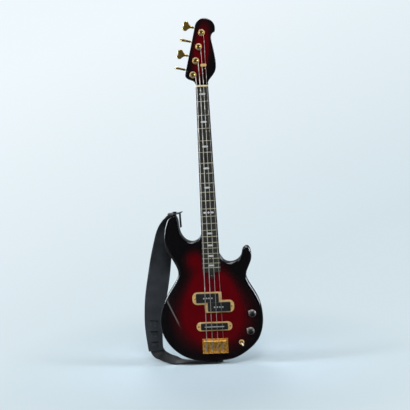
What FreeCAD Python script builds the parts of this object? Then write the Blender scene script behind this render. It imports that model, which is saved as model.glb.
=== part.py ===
"""A four-string electric bass guitar, upright, as separate pieces in one frame.

The frame: +Z runs up the neck, +X is the treble side seen from the front and -Y is the front.
The origin is the butt of the body, on the centreline and at half the body's thickness.
"""
import FreeCAD, Part
import math
import os
import re
from types import SimpleNamespace

V = FreeCAD.Vector
X_AXIS = V(1, 0, 0)
Y_AXIS = V(0, 1, 0)
Z_AXIS = V(0, 0, 1)
# Turns that point a piece's own +Z to the front, the back, the treble side and the butt
FRONT = FreeCAD.Rotation(X_AXIS, 90)
BACK = FreeCAD.Rotation(X_AXIS, -90)
TREBLE = FreeCAD.Rotation(Y_AXIS, 90)
DOWN = FreeCAD.Rotation(X_AXIS, 180)
UP = FreeCAD.Rotation()

# Driving dimensions in millimetres, degrees and counts
SIZES = {
    # scale and neck
    "scale_length": 864, "bridge_line": 72, "fret_count": 21, "nut_width": 41, "board_end_width": 61,
    "board_overhang": 16, "board_radius": 300, "board_thick": 6, "board_height": 10, "fret_crown": 1.2,
    "fret_width": 2.6, "fret_inset": 0.5, "neck_depth": 15, "neck_shoulder": 1.5, "neck_sections": 15, "nut_thick": 5,
    "inlay_depth": 1.5, "inlay_length": 21, "inlay_width": 6, "octave_gap": 1.2, "octave_diamond": 9,
    "octave_bar": 12.6,
    # body
    "body_thick": 42, "edge_round": 6.5, "core_width": 64, "heel_depth": 36, "heel_shift": 19, "heel_run": 38,
    "arm_angle": 11, "crease_round": 40, "horn_joint": 300,
    # headstock
    "head_setback": 11, "head_thick": 15, "head_round": 2.5, "head_ramp": 26, "edge_lean": 14.6,
    "first_post_x": -28.5, "first_post_rise": 40.3, "post_pitch": 46.8,
    # strings
    "nut_spread": 33, "bridge_spread": 57, "action_nut": 0.5, "action_saddle": 3.5, "string_fit": 0.1,
    "gauge_e": 2.67, "gauge_a": 2.16, "gauge_d": 1.65, "gauge_g": 1.14, "wrap_space": 0.5,
    "saddle_bend": 6, "nut_bend": 8, "ball_radius": 1.9, "ball_length": 3.2, "lead_gap": 0.5,
    # tuners
    "post_radius": 6, "post_stand": 16, "post_edge": 0.8, "slot_width": 2.8, "slot_depth": 8,
    "ferrule_radius": 11, "ferrule_flange": 1.8, "barrel_radius": 8.5, "barrel_depth": 8, "run_fit": 0.15,
    "plate_thick": 1.5, "gear_lift": 0.6, "gear_thick": 5, "gear_radius": 8.7, "gear_root": 7,
    "gear_teeth": 20, "stub_radius": 3, "gear_screw_radius": 4, "gear_screw_thick": 1.5,
    "worm_radius": 2.7, "worm_gap": 0.3, "worm_half": 6.2, "shaft_radius": 2, "shaft_reach": 34,
    "shaft_end": 1, "lug_width": 3.5, "lug_half": 4, "lug_height": 7.4, "plate_left": 18,
    "plate_right": 24, "plate_low": 13, "plate_high": 18.5, "plate_round": 3, "plate_inset": 4,
    "plate_screw_low": 4, "key_thick": 7, "key_round": 2.2, "key_stem": 2.6, "lobe_radius": 8.6,
    "lobe_reach": 23, "lobe_spread": 7.6, "waist_reach": 8.5, "notch_depth": 1.1, "collar_radius": 4.4,
    "collar_length": 5, "collar_sink": 1.5,
    # string retainer
    "retainer_rise": 70, "retainer_shift": 2.6, "retainer_height": 4.8, "retainer_length": 19,
    "retainer_width": 9, "retainer_thick": 3, "retainer_round": 3.6, "retainer_post": 3,
    "retainer_gap": 0.65,
    # truss rod
    "rod_radius": 3, "rod_drop": 9, "rod_fit": 0.25, "rod_nut_radius": 4.6, "rod_nut_length": 9,
    "rod_nut_room": 1.5, "rod_pocket": 26, "rod_cover_length": 27, "rod_cover_width": 18,
    "rod_cover_thick": 1.6, "rod_end_gap": 10,
    # bridge
    "bridge_width": 87, "bridge_base": 31, "bridge_length": 49, "bridge_thick": 2.5, "bridge_wall": 3,
    "bridge_wall_height": 13, "rail_width": 4, "rail_height": 7, "bridge_screw_inset": 2.9,
    "anchor_height": 2.8, "anchor_fit": 0.8, "saddle_fit": 0.2, "saddle_width": 18.4, "saddle_length": 14,
    "saddle_front": 3, "saddle_foot": 2.4, "saddle_block": 5.2, "barrel_round": 4.2, "grub_radius": 1.5,
    "grub_offset": 7.1, "grub_proud": 0.6, "thread_fit": 0.2, "tone_screw_radius": 1.5,
    "tone_screw_offset": 3.8, "tone_screw_height": 8.5, "tone_head_radius": 2.2, "tone_head_thick": 2.2,
    "spring_wire": 0.3, "spring_space": 0.2, "spring_turns": 8,
    # pickups
    "ring_thick": 2.5, "split_ring_width": 100, "split_ring_height": 43, "split_ring_round": 17,
    "split_inner_round": 4, "split_shift": 41, "split_line": 207, "split_step": 29,
    "split_cover_width": 77, "split_cover_height": 31, "split_cover_shift": 39, "split_cover_gap": 0.5,
    "pickup_depth": 20, "pickup_proud": 7.5, "cover_wall": 1.5, "cover_round": 3, "pickup_fit": 0.6,
    "pole_radius": 2.5, "pole_offset": 5, "pole_proud": 0.7, "pole_fit": 0.05, "coil_margin": 3,
    "coil_height": 18, "coil_depth": 16, "bar_ring_width": 122, "bar_ring_height": 31,
    "bar_ring_round": 14.5, "bar_line": 123, "bar_cover_width": 92, "bar_cover_height": 22,
    "blade_length": 66, "blade_width": 3,
    # controls
    "volume_x": 131, "volume_z": 163, "tone_x": 123, "tone_z": 102, "toggle_x": 90, "toggle_z": 64,
    "control_wall": 6, "control_radius": 21, "cover_ledge": 5, "cover_thick": 2, "cover_fit": 0.3,
    "pot_radius": 12, "pot_thick": 9, "bushing_radius": 4.5, "bushing_rise": 3.6, "pot_shaft": 3,
    "pot_nut_radius": 7, "pot_nut_thick": 2, "washer_radius": 13, "washer_thick": 1, "pointer_reach": 17,
    "pointer_angle": 145, "pointer_width": 5, "knob_radius": 12.4, "knob_top": 8, "knob_height": 15,
    "knob_skirt": 7, "knob_gap": 0.5, "knob_bore": 8.5, "knob_room": 0.6, "knob_edge": 0.8, "knob_cap": 3,
    "toggle_collar": 9, "toggle_collar_height": 4.5, "toggle_bush": 5.5, "toggle_bush_rise": 2.5,
    "toggle_bore": 3.4, "toggle_box": 16, "toggle_box_depth": 20, "toggle_floor": 4, "collar_slope": 2,
    "lever_ball": 3, "lever_radius": 1.5, "lever_tip": 3.4, "lever_length": 17, "lever_lean": 25,
    "lever_heading": -55, "cap_length": 10, "cap_width": 6, "cap_thick": 4, "wire_radius": 1.6,
    "wire_gap": 0.8, "duct_radius": 2.3, "jack_z": 130, "jack_seat_x": 161, "jack_flange": 9.5,
    "jack_flange_thick": 2, "jack_radius": 6, "jack_bore": 3.2, "jack_length": 23, "jack_floor": 2,
    # strap
    "strap_thick": 3, "tab_width": 44, "tab_tip_x": -87, "tab_rise": 3.9, "strip_width": 16,
    "strip_length": 46, "strip_x": -97, "tail_width": 38, "tail_tip_x": 24, "tail_drop": 4.4,
    "tail_round": 11.4, "button_hole": 4.5,
    # strap buttons and screws
    "button_radius": 7, "button_neck": 4, "button_height": 12, "button_lip": 3, "button_flare": 2,
    "button_seat": 1, "button_gap": 0.1, "button_screw": 2, "button_screw_length": 25,
    "horn_button_x": -117, "horn_button_z": 509, "screw_radius": 1.3, "screw_length": 9,
    "screw_head": 2.4, "screw_head_thick": 1.3, "screw_dome": 0.6, "screw_fit": 0.05,
}

# Body outline, read as (x, z) from where the bass cutaway meets the neck round to the treble one
BODY_OUTLINE = [
    (-25, 453), (-33.5, 434), (-44, 421.5), (-60, 416.5), (-82, 424), (-98, 445), (-104.5, 472),
    (-107, 495), (-117, 510), (-134, 504), (-148, 480), (-155, 448), (-154, 410), (-139, 371),
    (-119, 332), (-114.5, 311), (-123, 286), (-151, 243), (-174, 197), (-186.5, 145), (-181, 100),
    (-157, 55), (-118, 21), (-62, 2.5), (-2, 0),
    (60, 6), (110, 32), (148, 70), (165, 117), (167, 158), (154, 214), (126, 266), (116.5, 294),
    (123, 319), (134.5, 346), (136.5, 372), (124, 394), (111, 388), (103, 365), (86, 346.5), (64, 341),
    (46, 346.5), (34.5, 359.5), (25, 379),
]
# Crease of the forearm bevel on the front face, (x, z) at its upper and lower ends
ARM_CREASE = [(-154, 205), (-88, 52)]
# Headstock outline as (x, height above the nut line), bass side first: root, shoulder, long edge, crown, throat
HEAD_ROOT = [(-20.5, 0), (-21, 8), (-28, 19), (-43, 25.5), (-53.5, 36), (-54, 44)]
HEAD_CROWN = [(-14.5, 195), (-7, 212), (10, 222.5), (30, 220), (45, 209), (52, 191), (49.5, 177)]
HEAD_THROAT = [(49.5, 177), (40, 170), (37.5, 156), (42, 128), (47.5, 95), (49.5, 70), (44, 47), (32, 31),
               (21.5, 17), (20.5, 0)]
# Strap's route as (x, y, z, width, turn of its width from +X towards +Y in degrees), horn to butt
BELT_ROUTE = [
    (-140, 0, 514.4, 44, 90), (-150, 8, 502, 48, 70), (-160, 27, 462, 50, 25), (-167, 28, 402, 66, 18),
    (-186, 30, 300, 76, 4), (-205, 31, 200, 74, 0), (-215, 31, 110, 62, 0), (-214, 30, 52, 52, 4),
]
TAIL_ROUTE = [
    (-214, 30, 52, 48, 4), (-205, 28, 24, 46, 12), (-178, 22, 8, 44, 20), (-140, 12, -3, 40, 12),
    (-90, 4, -8, 38, 80), (-24, 0, -5.9, 38, 90),
]
# Frets whose spaces carry a single marker, and the octave's
MARKED_FRETS = (1, 3, 5, 7, 9, 15, 17, 19, 21)
OCTAVE_FRET = 12
STRING_NAMES = ("e", "a", "d", "g")
WRAP_TURNS = (2, 2.5, 3, 3.5)
# Rest turn of each key about its own shaft, in degrees
KEY_TURNS = (90, 0, 90, 0)

doc = FreeCAD.newDocument("ElectricBass")
sheet = doc.addObject("Spreadsheet::Sheet", "Sizes")
for row, (alias, value) in enumerate(SIZES.items(), start=1):
    sheet.set(f"A{row}", alias)
    sheet.set(f"B{row}", str(value))
    sheet.setAlias(f"B{row}", alias)
doc.recompute()
P = SimpleNamespace(**{alias: float(getattr(sheet, alias)) for alias in SIZES})

# Levels and lines that several pieces share
TOP_Y = -P.body_thick / 2
BACK_Y = P.body_thick / 2
BOARD_Y = TOP_Y - P.board_height
NECK_Y = BOARD_Y + P.board_thick
NUT_Z = P.bridge_line + P.scale_length
HEAD_Y = BOARD_Y + P.head_setback
HEAD_BACK_Y = HEAD_Y + P.head_thick
CROWN_Y = BOARD_Y + P.board_radius
PLATE_Y = TOP_Y - P.bridge_thick
FLOOR_Y = TOP_Y + P.pickup_depth
COVER_Y = TOP_Y - P.pickup_proud
CAVITY_Y = TOP_Y + P.control_wall
CONTROLS = [(P.toggle_x, P.toggle_z), (P.tone_x, P.tone_z), (P.volume_x, P.volume_z)]
GAUGES = [P.gauge_e, P.gauge_a, P.gauge_d, P.gauge_g]
LEAN = math.radians(P.edge_lean)
ALONG_HEAD = V(math.sin(LEAN), 0, math.cos(LEAN))
TO_KEY = V(-math.cos(LEAN), 0, math.sin(LEAN))
GEAR_BASE = P.plate_thick + P.gear_lift
# A wheel's tooth as (share of the pitch, radius): its root, flank and crest
GEAR_TOOTH = [(0, P.gear_root), (0.3, P.gear_root), (0.42, P.gear_radius), (0.88, P.gear_radius)]
WORM_OFFSET = P.gear_radius + P.worm_gap + P.worm_radius
SHAFT_LEVEL = GEAR_BASE + P.gear_thick / 2

nodes = []


def words(expression):
    """The expression with each driving dimension's name turned into its cell on the sheet."""
    return re.sub(r"[a-z_]+", lambda m: f"Sizes.{m[0]}" if m[0] in SIZES else m[0], expression)


def bound(kind, name, at, turn=UP, **sizes):
    """A primitive whose sizes and place are expressions on the sheet."""
    item = doc.addObject(kind, name)
    item.Placement = FreeCAD.Placement(V(), turn)
    for prop, expression in sizes.items():
        item.setExpression(prop, words(expression))
    for axis, expression in zip("xyz", at):
        item.setExpression(f"Placement.Base.{axis}", words(expression))
    return item


def cylinder(name, radius, height, at, turn=FRONT):
    return bound("Part::Cylinder", name, at, turn, Radius=radius, Height=height)


def box(name, length, width, height, at):
    return bound("Part::Box", name, at, Length=length, Width=width, Height=height)


def boolean(kind, name, base, tool):
    item = doc.addObject(kind, name)
    item.Base = base
    item.Tool = tool
    return item


def cut(name, base, *tools):
    """The base less every tool."""
    for number, tool in enumerate(tools):
        base = boolean("Part::Cut", f"{name}_{number}", base, tool)
    return base


def fuse(name, *items):
    item = doc.addObject("Part::MultiFuse", name)
    item.Shapes = list(items)
    return item


def node(label, *items):
    """Marks document objects as one finished piece, or as a group of like ones."""
    item = items[0]
    if len(items) > 1:
        item = doc.addObject("Part::Compound", label)
        item.Links = list(items)
    item.Label = label
    nodes.append(item)
    return item


def feature(name, shape, placement=None):
    """A document object whose shape is made directly."""
    item = doc.addObject("Part::Feature", name)
    item.Shape = shape
    if placement is not None:
        item.Placement = placement.multiply(item.Placement)
    return item


def spline(points, level):
    """A smooth curve through (x, z) points on a plane of constant y."""
    curve = Part.BSplineCurve()
    curve.interpolate([V(x, level, z) for x, z in points])
    return curve.toShape()


def line(start, end):
    return Part.LineSegment(start, end).toShape()


def prism(points, front, back):
    """A straight-sided plate with a polygon outline of (x, z) points."""
    loop = Part.makePolygon([V(x, front, z) for x, z in points + points[:1]])
    return Part.Face(loop).extrude(V(0, back - front, 0))


def round_rect(width, height, radii, front, back, centre):
    """A rounded plate; radii are for the (bass, treble) ends."""
    block = Part.makeBox(width, back - front, height, V(centre[0] - width / 2, front, centre[1] - height / 2))
    for side, radius in zip((-1, 1), radii):
        edge_x = centre[0] + side * width / 2
        uprights = [
            e for e in block.Edges
            if abs(e.BoundBox.YLength - (back - front)) < 1e-6 and abs(e.BoundBox.Center.x - edge_x) < 1e-6
            and e.BoundBox.ZLength < 1e-6
        ]
        block = block.makeFillet(radius, uprights)
    return block


def rod(radius, start, end):
    return Part.makeCylinder(radius, (end - start).Length, start, end - start)


def arc_between(start, corner, end):
    """The circular arc that leaves start and reaches end along the two sides of their corner."""
    middle = (start + end) * 0.5
    half = (end - start).Length / 2
    rise = corner - middle
    slope = math.atan2(rise.Length, half)
    rise.normalize()
    return Part.Arc(start, middle + rise * half * math.tan(slope / 2), end).toShape()


def pipe(edges, radius):
    """One unbroken round tube along a path of tangent edges."""
    path = Part.Wire(edges)
    first = edges[0]
    start = first.valueAt(first.FirstParameter)
    heading = first.tangentAt(first.FirstParameter)
    ring = Part.Wire(Part.Circle(start, heading, radius).toShape())
    shell = Part.BRepOffsetAPI.MakePipeShell(path)
    shell.add(ring)
    shell.build()
    shell.makeSolid()
    return shell.shape()


def bent_path(points, bends):
    """Straight runs between points, joined by tangent arcs of the given radii at the inner points."""
    edges = []
    start = points[0]
    for before, corner, after, bend in zip(points, points[1:], points[2:], bends):
        inward = (before - corner).normalize()
        outward = (after - corner).normalize()
        reach = bend * math.tan((math.pi - inward.getAngle(outward)) / 2)
        edges.append(line(start, corner + inward * reach))
        edges.append(arc_between(corner + inward * reach, corner, corner + outward * reach))
        start = corner + outward * reach
    edges.append(line(start, points[-1]))
    return edges


def biarc(start, start_heading, end, end_heading):
    """Two tangent arcs between two points with given unit headings."""
    gap = end - start
    both = start_heading + end_heading
    spare = 2 * (1 - start_heading.dot(end_heading))
    reach = (math.sqrt(gap.dot(both) ** 2 + spare * gap.dot(gap)) - gap.dot(both)) / spare
    first = start + start_heading * reach
    second = end - end_heading * reach
    joint = (first + second) * 0.5
    return [arc_between(start, first, joint), arc_between(joint, second, end)]


def winding(name, centre, across, up, radius, pitch, turns, wire):
    """A helix of tangent biarcs, a quarter turn each, with straight ends of one wire diameter.

    It starts at the centre plus across times the radius and climbs along up.
    Its least gap to itself is printed.
    """
    side = up.cross(across)
    count = round(turns * 4)

    def at(quarter):
        angle = quarter * math.pi / 2
        out = across * math.cos(angle) + side * math.sin(angle)
        return centre + out * radius + up * pitch * quarter / 4

    def heading(quarter):
        angle = quarter * math.pi / 2
        run = side * radius * math.cos(angle) - across * radius * math.sin(angle) + up * pitch / (2 * math.pi)
        return run.normalize()

    edges = [line(at(0) - heading(0) * 2 * wire, at(0))]
    for quarter in range(count):
        edges += biarc(at(quarter), heading(quarter), at(quarter + 1), heading(quarter + 1))
    edges.append(line(at(count), at(count) + heading(count) * 2 * wire))
    steps = [at(k / 8) for k in range(count * 8 + 1)]
    apart = [
        (steps[i] - steps[k]).Length for i in range(len(steps)) for k in range(i + 16, len(steps))
    ]
    if apart:
        print(f"{name}: least gap to itself {min(apart) - 2 * wire:.2f} mm")
    return pipe(edges, wire), at(0) - heading(0) * 2 * wire, heading(0)


def crown(x):
    """How far the curved board, and what follows it, falls away at x from the centreline."""
    return P.board_radius - math.sqrt(P.board_radius ** 2 - x * x)


def fret_z(number):
    return NUT_Z - P.scale_length * (1 - 2 ** (-number / 12))


BOARD_END = fret_z(P.fret_count) - P.board_overhang


def board_half(z):
    """Half the board's width at a height on the neck."""
    share = (NUT_Z - z) / (NUT_Z - BOARD_END)
    return (P.nut_width + (P.board_end_width - P.nut_width) * share) / 2


def nut_x(number):
    return P.nut_spread * (number / 3 - 0.5)


def saddle_x(number):
    return P.bridge_spread * (number / 3 - 0.5)


def string_x(number, z):
    share = (z - P.bridge_line) / P.scale_length
    return saddle_x(number) + (nut_x(number) - saddle_x(number)) * share


def under_string(x, action):
    """The level of a string's underside, at a given height over the frets."""
    return BOARD_Y - P.fret_crown - action + crown(x)


def post_at(number):
    first = V(P.first_post_x, HEAD_BACK_Y, NUT_Z + P.first_post_rise)
    return first + ALONG_HEAD * (P.post_pitch * number)


def tuner_frame(number):
    """The tuner's own frame: x towards its key, y up the headstock's edge, z out of the back."""
    return FreeCAD.Placement(post_at(number), FreeCAD.Rotation(TO_KEY, ALONG_HEAD, Y_AXIS, "XYZ"))


def y_rod(radius, x, z, front, back):
    """A round bar or hole from front to back."""
    return rod(radius, V(x, front, z), V(x, back, z))


# Screw places: (x, z) on the front for trims, and in each tuner's frame for its plate
SPLIT_BASS = (-P.split_shift / 2, P.split_line + P.split_step / 2)
SPLIT_TREBLE = (P.split_shift / 2, P.split_line - P.split_step / 2)
SPLIT_COVERS = [
    (side * P.split_cover_shift / 2, P.split_line - side * (P.split_cover_height + P.split_cover_gap) / 2)
    for side in (-1, 1)
]
RING_SCREWS = [
    (side * (P.split_shift / 2 + P.split_ring_width / 2 - P.split_ring_round / 2),
     P.split_line - side * P.split_step / 2)
    for side in (-1, 1)
]
RING_SCREWS += [
    (side * (P.bar_ring_width / 2 - P.bar_ring_round / 2), P.bar_line) for side in (-1, 1)
]
BRIDGE_SCREWS = [
    (share * (P.bridge_width / 2 - P.rail_width - 2 * P.screw_head),
     P.bridge_base + P.bridge_length - P.bridge_screw_inset)
    for share in (-1, 0, 1)
]
ROD_COVER_SCREW = (0, BOARD_END - P.rod_cover_length / 2)
PLATE_SCREWS = [
    (P.plate_inset - P.plate_left, P.plate_inset - P.plate_low),
    (P.plate_inset - P.plate_left, P.plate_high - P.plate_inset),
    (P.plate_right - P.plate_inset, P.plate_inset - P.plate_low),
    (P.plate_right - P.plate_inset, P.plate_screw_low),
]


def screw(x, z, seat, towards=-1):
    """A round-headed wood screw whose head lies on the seat; towards is the way its head faces along y."""
    head = y_rod(P.screw_head, x, z, seat, seat + towards * P.screw_head_thick)
    dome = head.makeFillet(
        P.screw_dome,
        [e for e in head.Edges if abs(e.BoundBox.Center.y - seat) > 0.9 * P.screw_head_thick
         and e.BoundBox.YLength < 1e-6],
    )
    shank = y_rod(P.screw_radius, x, z, seat, seat - towards * P.screw_length)
    return dome.fuse(shank)


def pilot(x, z, seat, towards=-1):
    """The hole that a wood screw's shank needs."""
    return y_rod(P.screw_radius + P.screw_fit, x, z, seat, seat - towards * (P.screw_length + P.screw_fit))


def plate_screw_points():
    """Where the tuner plates' screws enter the headstock's back."""
    return [tuner_frame(n).multVec(V(x, y, 0)) for n in range(4) for x, y in PLATE_SCREWS]


def chain(points, radius, front, back):
    """A rounded trough that joins points on the front face."""
    shape = y_rod(radius, *points[0], front, back)
    for (ax, az), (bx, bz) in zip(points, points[1:]):
        run = V(bx - ax, 0, bz - az)
        side = Y_AXIS.cross(run).normalize() * radius
        a = V(ax, 0, az)
        b = V(bx, 0, bz)
        corners = [a + side, b + side, b - side, a - side]
        shape = shape.fuse(prism([(c.x, c.z) for c in corners], front, back))
        shape = shape.fuse(y_rod(radius, bx, bz, front, back))
    return shape.removeSplitter()


def body_blank():
    """The whole body before it is hollowed: outline, forearm bevel and rounded edges."""
    edge = spline(BODY_OUTLINE, TOP_Y)
    ends = edge.Vertexes
    close = line(ends[-1].Point, ends[0].Point)
    blank = Part.Face(Part.Wire([edge, close])).extrude(V(0, P.body_thick, 0)).cut(arm_wedge())
    run = V(ARM_CREASE[1][0] - ARM_CREASE[0][0], 0, ARM_CREASE[1][1] - ARM_CREASE[0][1])
    crease = [
        e for e in blank.Edges
        if e.Curve.TypeId == "Part::GeomLine" and e.Curve.Direction.cross(run).Length < 1e-6 * run.Length
    ]
    blank = blank.makeFillet(P.crease_round, crease)
    rims = [e for e in blank.Edges if e.Curve.TypeId == "Part::GeomBSplineCurve"]
    return blank.makeFillet(P.edge_round, rims)


def arm_wedge():
    """The wedge that the forearm bevel takes off, from its crease down to the bass edge."""
    (ax, az), (bx, bz) = ARM_CREASE
    upper = V(ax, TOP_Y, az)
    run = V(bx - ax, 0, bz - az)
    outward = Y_AXIS.cross(run).normalize()
    start = upper - run
    reach = run.Length
    fall = V(0, reach * math.tan(math.radians(P.arm_angle)), 0)
    far = start + outward * reach
    loop = Part.makePolygon([start, far + fall, far - fall, start - fall, start])
    return Part.Face(loop).extrude(run * 3)


def cover_block(centre, width, height, grow, front, back):
    return round_rect(
        width + 2 * grow, height + 2 * grow, (P.cover_round + grow,) * 2, front, back, centre
    )


def pickup_wells():
    """Room in the body for the pickups."""
    wells = [
        cover_block(c, P.split_cover_width, P.split_cover_height, P.pickup_fit, TOP_Y - 1, FLOOR_Y)
        for c in SPLIT_COVERS
    ]
    wells.append(
        cover_block((0, P.bar_line), P.bar_cover_width, P.bar_cover_height, P.pickup_fit, TOP_Y - 1, FLOOR_Y)
    )
    return wells


WIRE_Y = CAVITY_Y + P.pot_thick / 2


def toward(start, end, gap):
    """The point short of end by a gap, on the straight line from start."""
    return end + (start - end).normalize() * gap


def wire_runs():
    """Each lead's straight run: its start beside a pickup, switch or jack and its end beside a control."""
    volume = V(P.volume_x, WIRE_Y, P.volume_z)
    tone = V(P.tone_x, WIRE_Y, P.tone_z)
    toggle = V(P.toggle_x, WIRE_Y, P.toggle_z)
    reach = P.pot_radius + P.cover_fit
    x, z = SPLIT_COVERS[1]
    split = V(x + P.split_cover_width / 2 + P.wire_gap, WIRE_Y, z)
    bar = V(P.bar_cover_width / 2 + P.wire_gap, WIRE_Y, P.bar_line)
    switch = toward(tone, toggle, 0.75 * P.toggle_box)
    return [
        (split, toward(split, volume, reach)),
        (bar, toward(bar, tone, reach)),
        (switch, toward(switch, tone, reach)),
        (toward(volume, tone, reach), toward(tone, volume, reach)),
    ]


def duct(start, end):
    """The drilled way for a lead between two cavities."""
    return rod(P.duct_radius, start + (start - end).normalize() * P.wire_gap, end)


def front_holes():
    """Holes through the body's front and edge for the controls, the jack and the front's screws."""
    holes = [y_rod(P.bushing_radius + P.screw_fit, x, z, TOP_Y - 1, CAVITY_Y + 1) for x, z in CONTROLS[1:]]
    holes.append(y_rod(P.toggle_bush + P.screw_fit, *CONTROLS[0], TOP_Y - 1, CAVITY_Y + 1))
    seat = V(P.jack_seat_x, 0, P.jack_z)
    holes.append(rod(P.jack_flange + P.cover_fit, seat, seat + X_AXIS * P.edge_round * 3))
    holes.append(rod(P.jack_radius + P.screw_fit, seat - X_AXIS * P.jack_length, seat + X_AXIS))
    holes += [pilot(x, z, TOP_Y - P.ring_thick) for x, z in RING_SCREWS]
    holes += [pilot(x, z, PLATE_Y) for x, z in BRIDGE_SCREWS]
    holes.append(pilot(*ROD_COVER_SCREW, TOP_Y - P.rod_cover_thick))
    holes += [pilot(x, z, BACK_Y - P.cover_thick, 1) for x, z in cover_screws()]
    holes.append(rod(P.button_screw + P.screw_fit, V(), Z_AXIS * P.button_screw_length))
    horn = V(P.horn_button_x, 0, P.horn_button_z)
    holes.append(rod(P.button_screw + P.screw_fit, horn - Z_AXIS * P.button_screw_length, horn + Z_AXIS))
    seat_radius = P.button_neck + P.button_flare + P.button_seat
    holes.append(rod(seat_radius, horn, horn + Z_AXIS * P.button_height))
    return holes


def cover_screws():
    """Screw places on the ledge round the control cavity: beyond its ends and beside its middle."""
    ledge = P.control_radius + P.cover_ledge / 2
    (ax, az), (bx, bz), (cx, cz) = CONTROLS
    return [(ax - ledge, az), (bx + ledge, bz), (cx, cz + ledge), (cx - ledge, cz)]


def back_section(z, half, handle, front, shoulder, hollow):
    """A section that is flat in front and has one cubic for its back, whose handles are at x = +-handle."""
    back = Part.BezierCurve()
    back.setPoles([V(half, shoulder, z), V(handle, hollow, z), V(-handle, hollow, z), V(-half, shoulder, z)])
    return Part.Wire([
        line(V(-half, front, z), V(half, front, z)),
        line(V(half, front, z), V(half, shoulder, z)),
        back.toShape(),
        line(V(-half, shoulder, z), V(-half, front, z)),
    ])


def neck_section(z, front):
    """The neck's D-shaped section: its cubic comes to three quarters of its handles' depth.

    The depth falls from the heel's to the neck's own on a smooth step a little above the heel's top.
    """
    half = board_half(z)
    shoulder = NECK_Y + P.neck_shoulder
    rise = (z - BODY_OUTLINE[0][1] - P.heel_shift) / P.heel_run
    depth = P.neck_depth + (P.heel_depth - P.neck_depth) / (1 + math.exp(rise))
    return back_section(z, half, half, front, shoulder, shoulder + (depth - P.neck_shoulder) / 0.75)


def neck_shaft():
    """The neck from under the board's end, through the heel's hollow, up to the nut."""
    step = (NUT_Z - BOARD_END) / P.neck_sections
    stations = [BOARD_END + step * number for number in range(int(P.neck_sections))] + [NUT_Z]
    return Part.makeLoft([neck_section(z, NECK_Y) for z in stations], True, False)


def head_plate():
    """The headstock: one straight long edge and smooth curves with rounded rims, and its way into the neck."""
    def rise(points):
        return [(x, NUT_Z + up) for x, up in points]

    runs = [rise(HEAD_ROOT), rise(HEAD_CROWN), rise(HEAD_THROAT)]
    curves = [spline(points, HEAD_Y) for points in runs]
    edge = line(curves[0].Vertexes[-1].Point, curves[1].Vertexes[0].Point)
    close = line(curves[2].Vertexes[-1].Point, curves[0].Vertexes[0].Point)
    plate = Part.Face(Part.Wire([curves[0], edge, curves[1], curves[2], close])).extrude(V(0, P.head_thick, 0))
    rims = [e for e in plate.Edges if e.BoundBox.YLength < 1e-6 and e.BoundBox.ZLength > 1e-6]
    plate = plate.makeFillet(P.head_round, rims)
    ramp_top = NUT_Z + P.head_ramp
    face = [V(0, NECK_Y, NUT_Z), V(0, NECK_Y, NUT_Z + P.nut_thick), V(0, HEAD_Y, ramp_top),
            V(0, HEAD_BACK_Y, ramp_top), V(0, HEAD_BACK_Y, NUT_Z), V(0, NECK_Y, NUT_Z)]
    ramp = Part.Face(Part.makePolygon(face)).extrude(X_AXIS * P.nut_width)
    ramp.translate(V(-P.nut_width / 2, 0, 0))
    # Behind the ramp the back goes over from the neck's round to the headstock's flat
    clear = NECK_Y - P.head_thick
    wide = 2 * P.nut_width
    lower = Part.makeLoft([
        neck_section(NUT_Z, clear),
        back_section(ramp_top, wide, wide / 3, clear, HEAD_BACK_Y, HEAD_BACK_Y),
    ], True, True)
    tall = HEAD_CROWN[2][1]
    upper = Part.makeBox(4 * wide, 4 * P.head_thick, tall, V(-2 * wide, clear, ramp_top))
    return plate.fuse(ramp).common(lower.fuse(upper)).removeSplitter()


def rod_way():
    """The channel under the board for the truss rod, and the pocket that its nut is reached from.

    Both start in front of the wood, so that they open it cleanly.
    """
    half = P.rod_radius + P.rod_fit
    centre = NECK_Y + P.rod_drop
    top = NUT_Z - P.rod_end_gap
    clear = NECK_Y - P.rod_radius
    channel = Part.makeBox(2 * half, centre - clear, top - BOARD_END, V(-half, clear, BOARD_END))
    bore = rod(half, V(0, centre, BOARD_END - P.rod_radius), V(0, centre, top))
    pocket_half = P.rod_nut_radius + P.rod_nut_room
    pocket = Part.makeBox(
        2 * pocket_half, centre + pocket_half - clear, P.rod_pocket, V(-pocket_half, clear, BOARD_END - P.rod_pocket)
    )
    return channel.fuse([bore, pocket])


def tuner_holes():
    """Stepped holes for each tuner's front ferrule and post, and pilots for its plate's screws."""
    holes = []
    for number in range(4):
        x, _, z = post_at(number)
        holes.append(y_rod(P.barrel_radius + P.screw_fit, x, z, HEAD_Y - 1, HEAD_Y + P.barrel_depth))
        holes.append(y_rod(P.post_radius + P.run_fit, x, z, HEAD_Y, HEAD_BACK_Y + 1))
    holes += [pilot(p.x, p.z, HEAD_BACK_Y + P.plate_thick, 1) for p in plate_screw_points()]
    x, z = retainer_at()
    holes.append(y_rod(P.screw_radius + P.screw_fit, x, z, HEAD_Y - 1, HEAD_Y + P.screw_length))
    return holes


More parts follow.
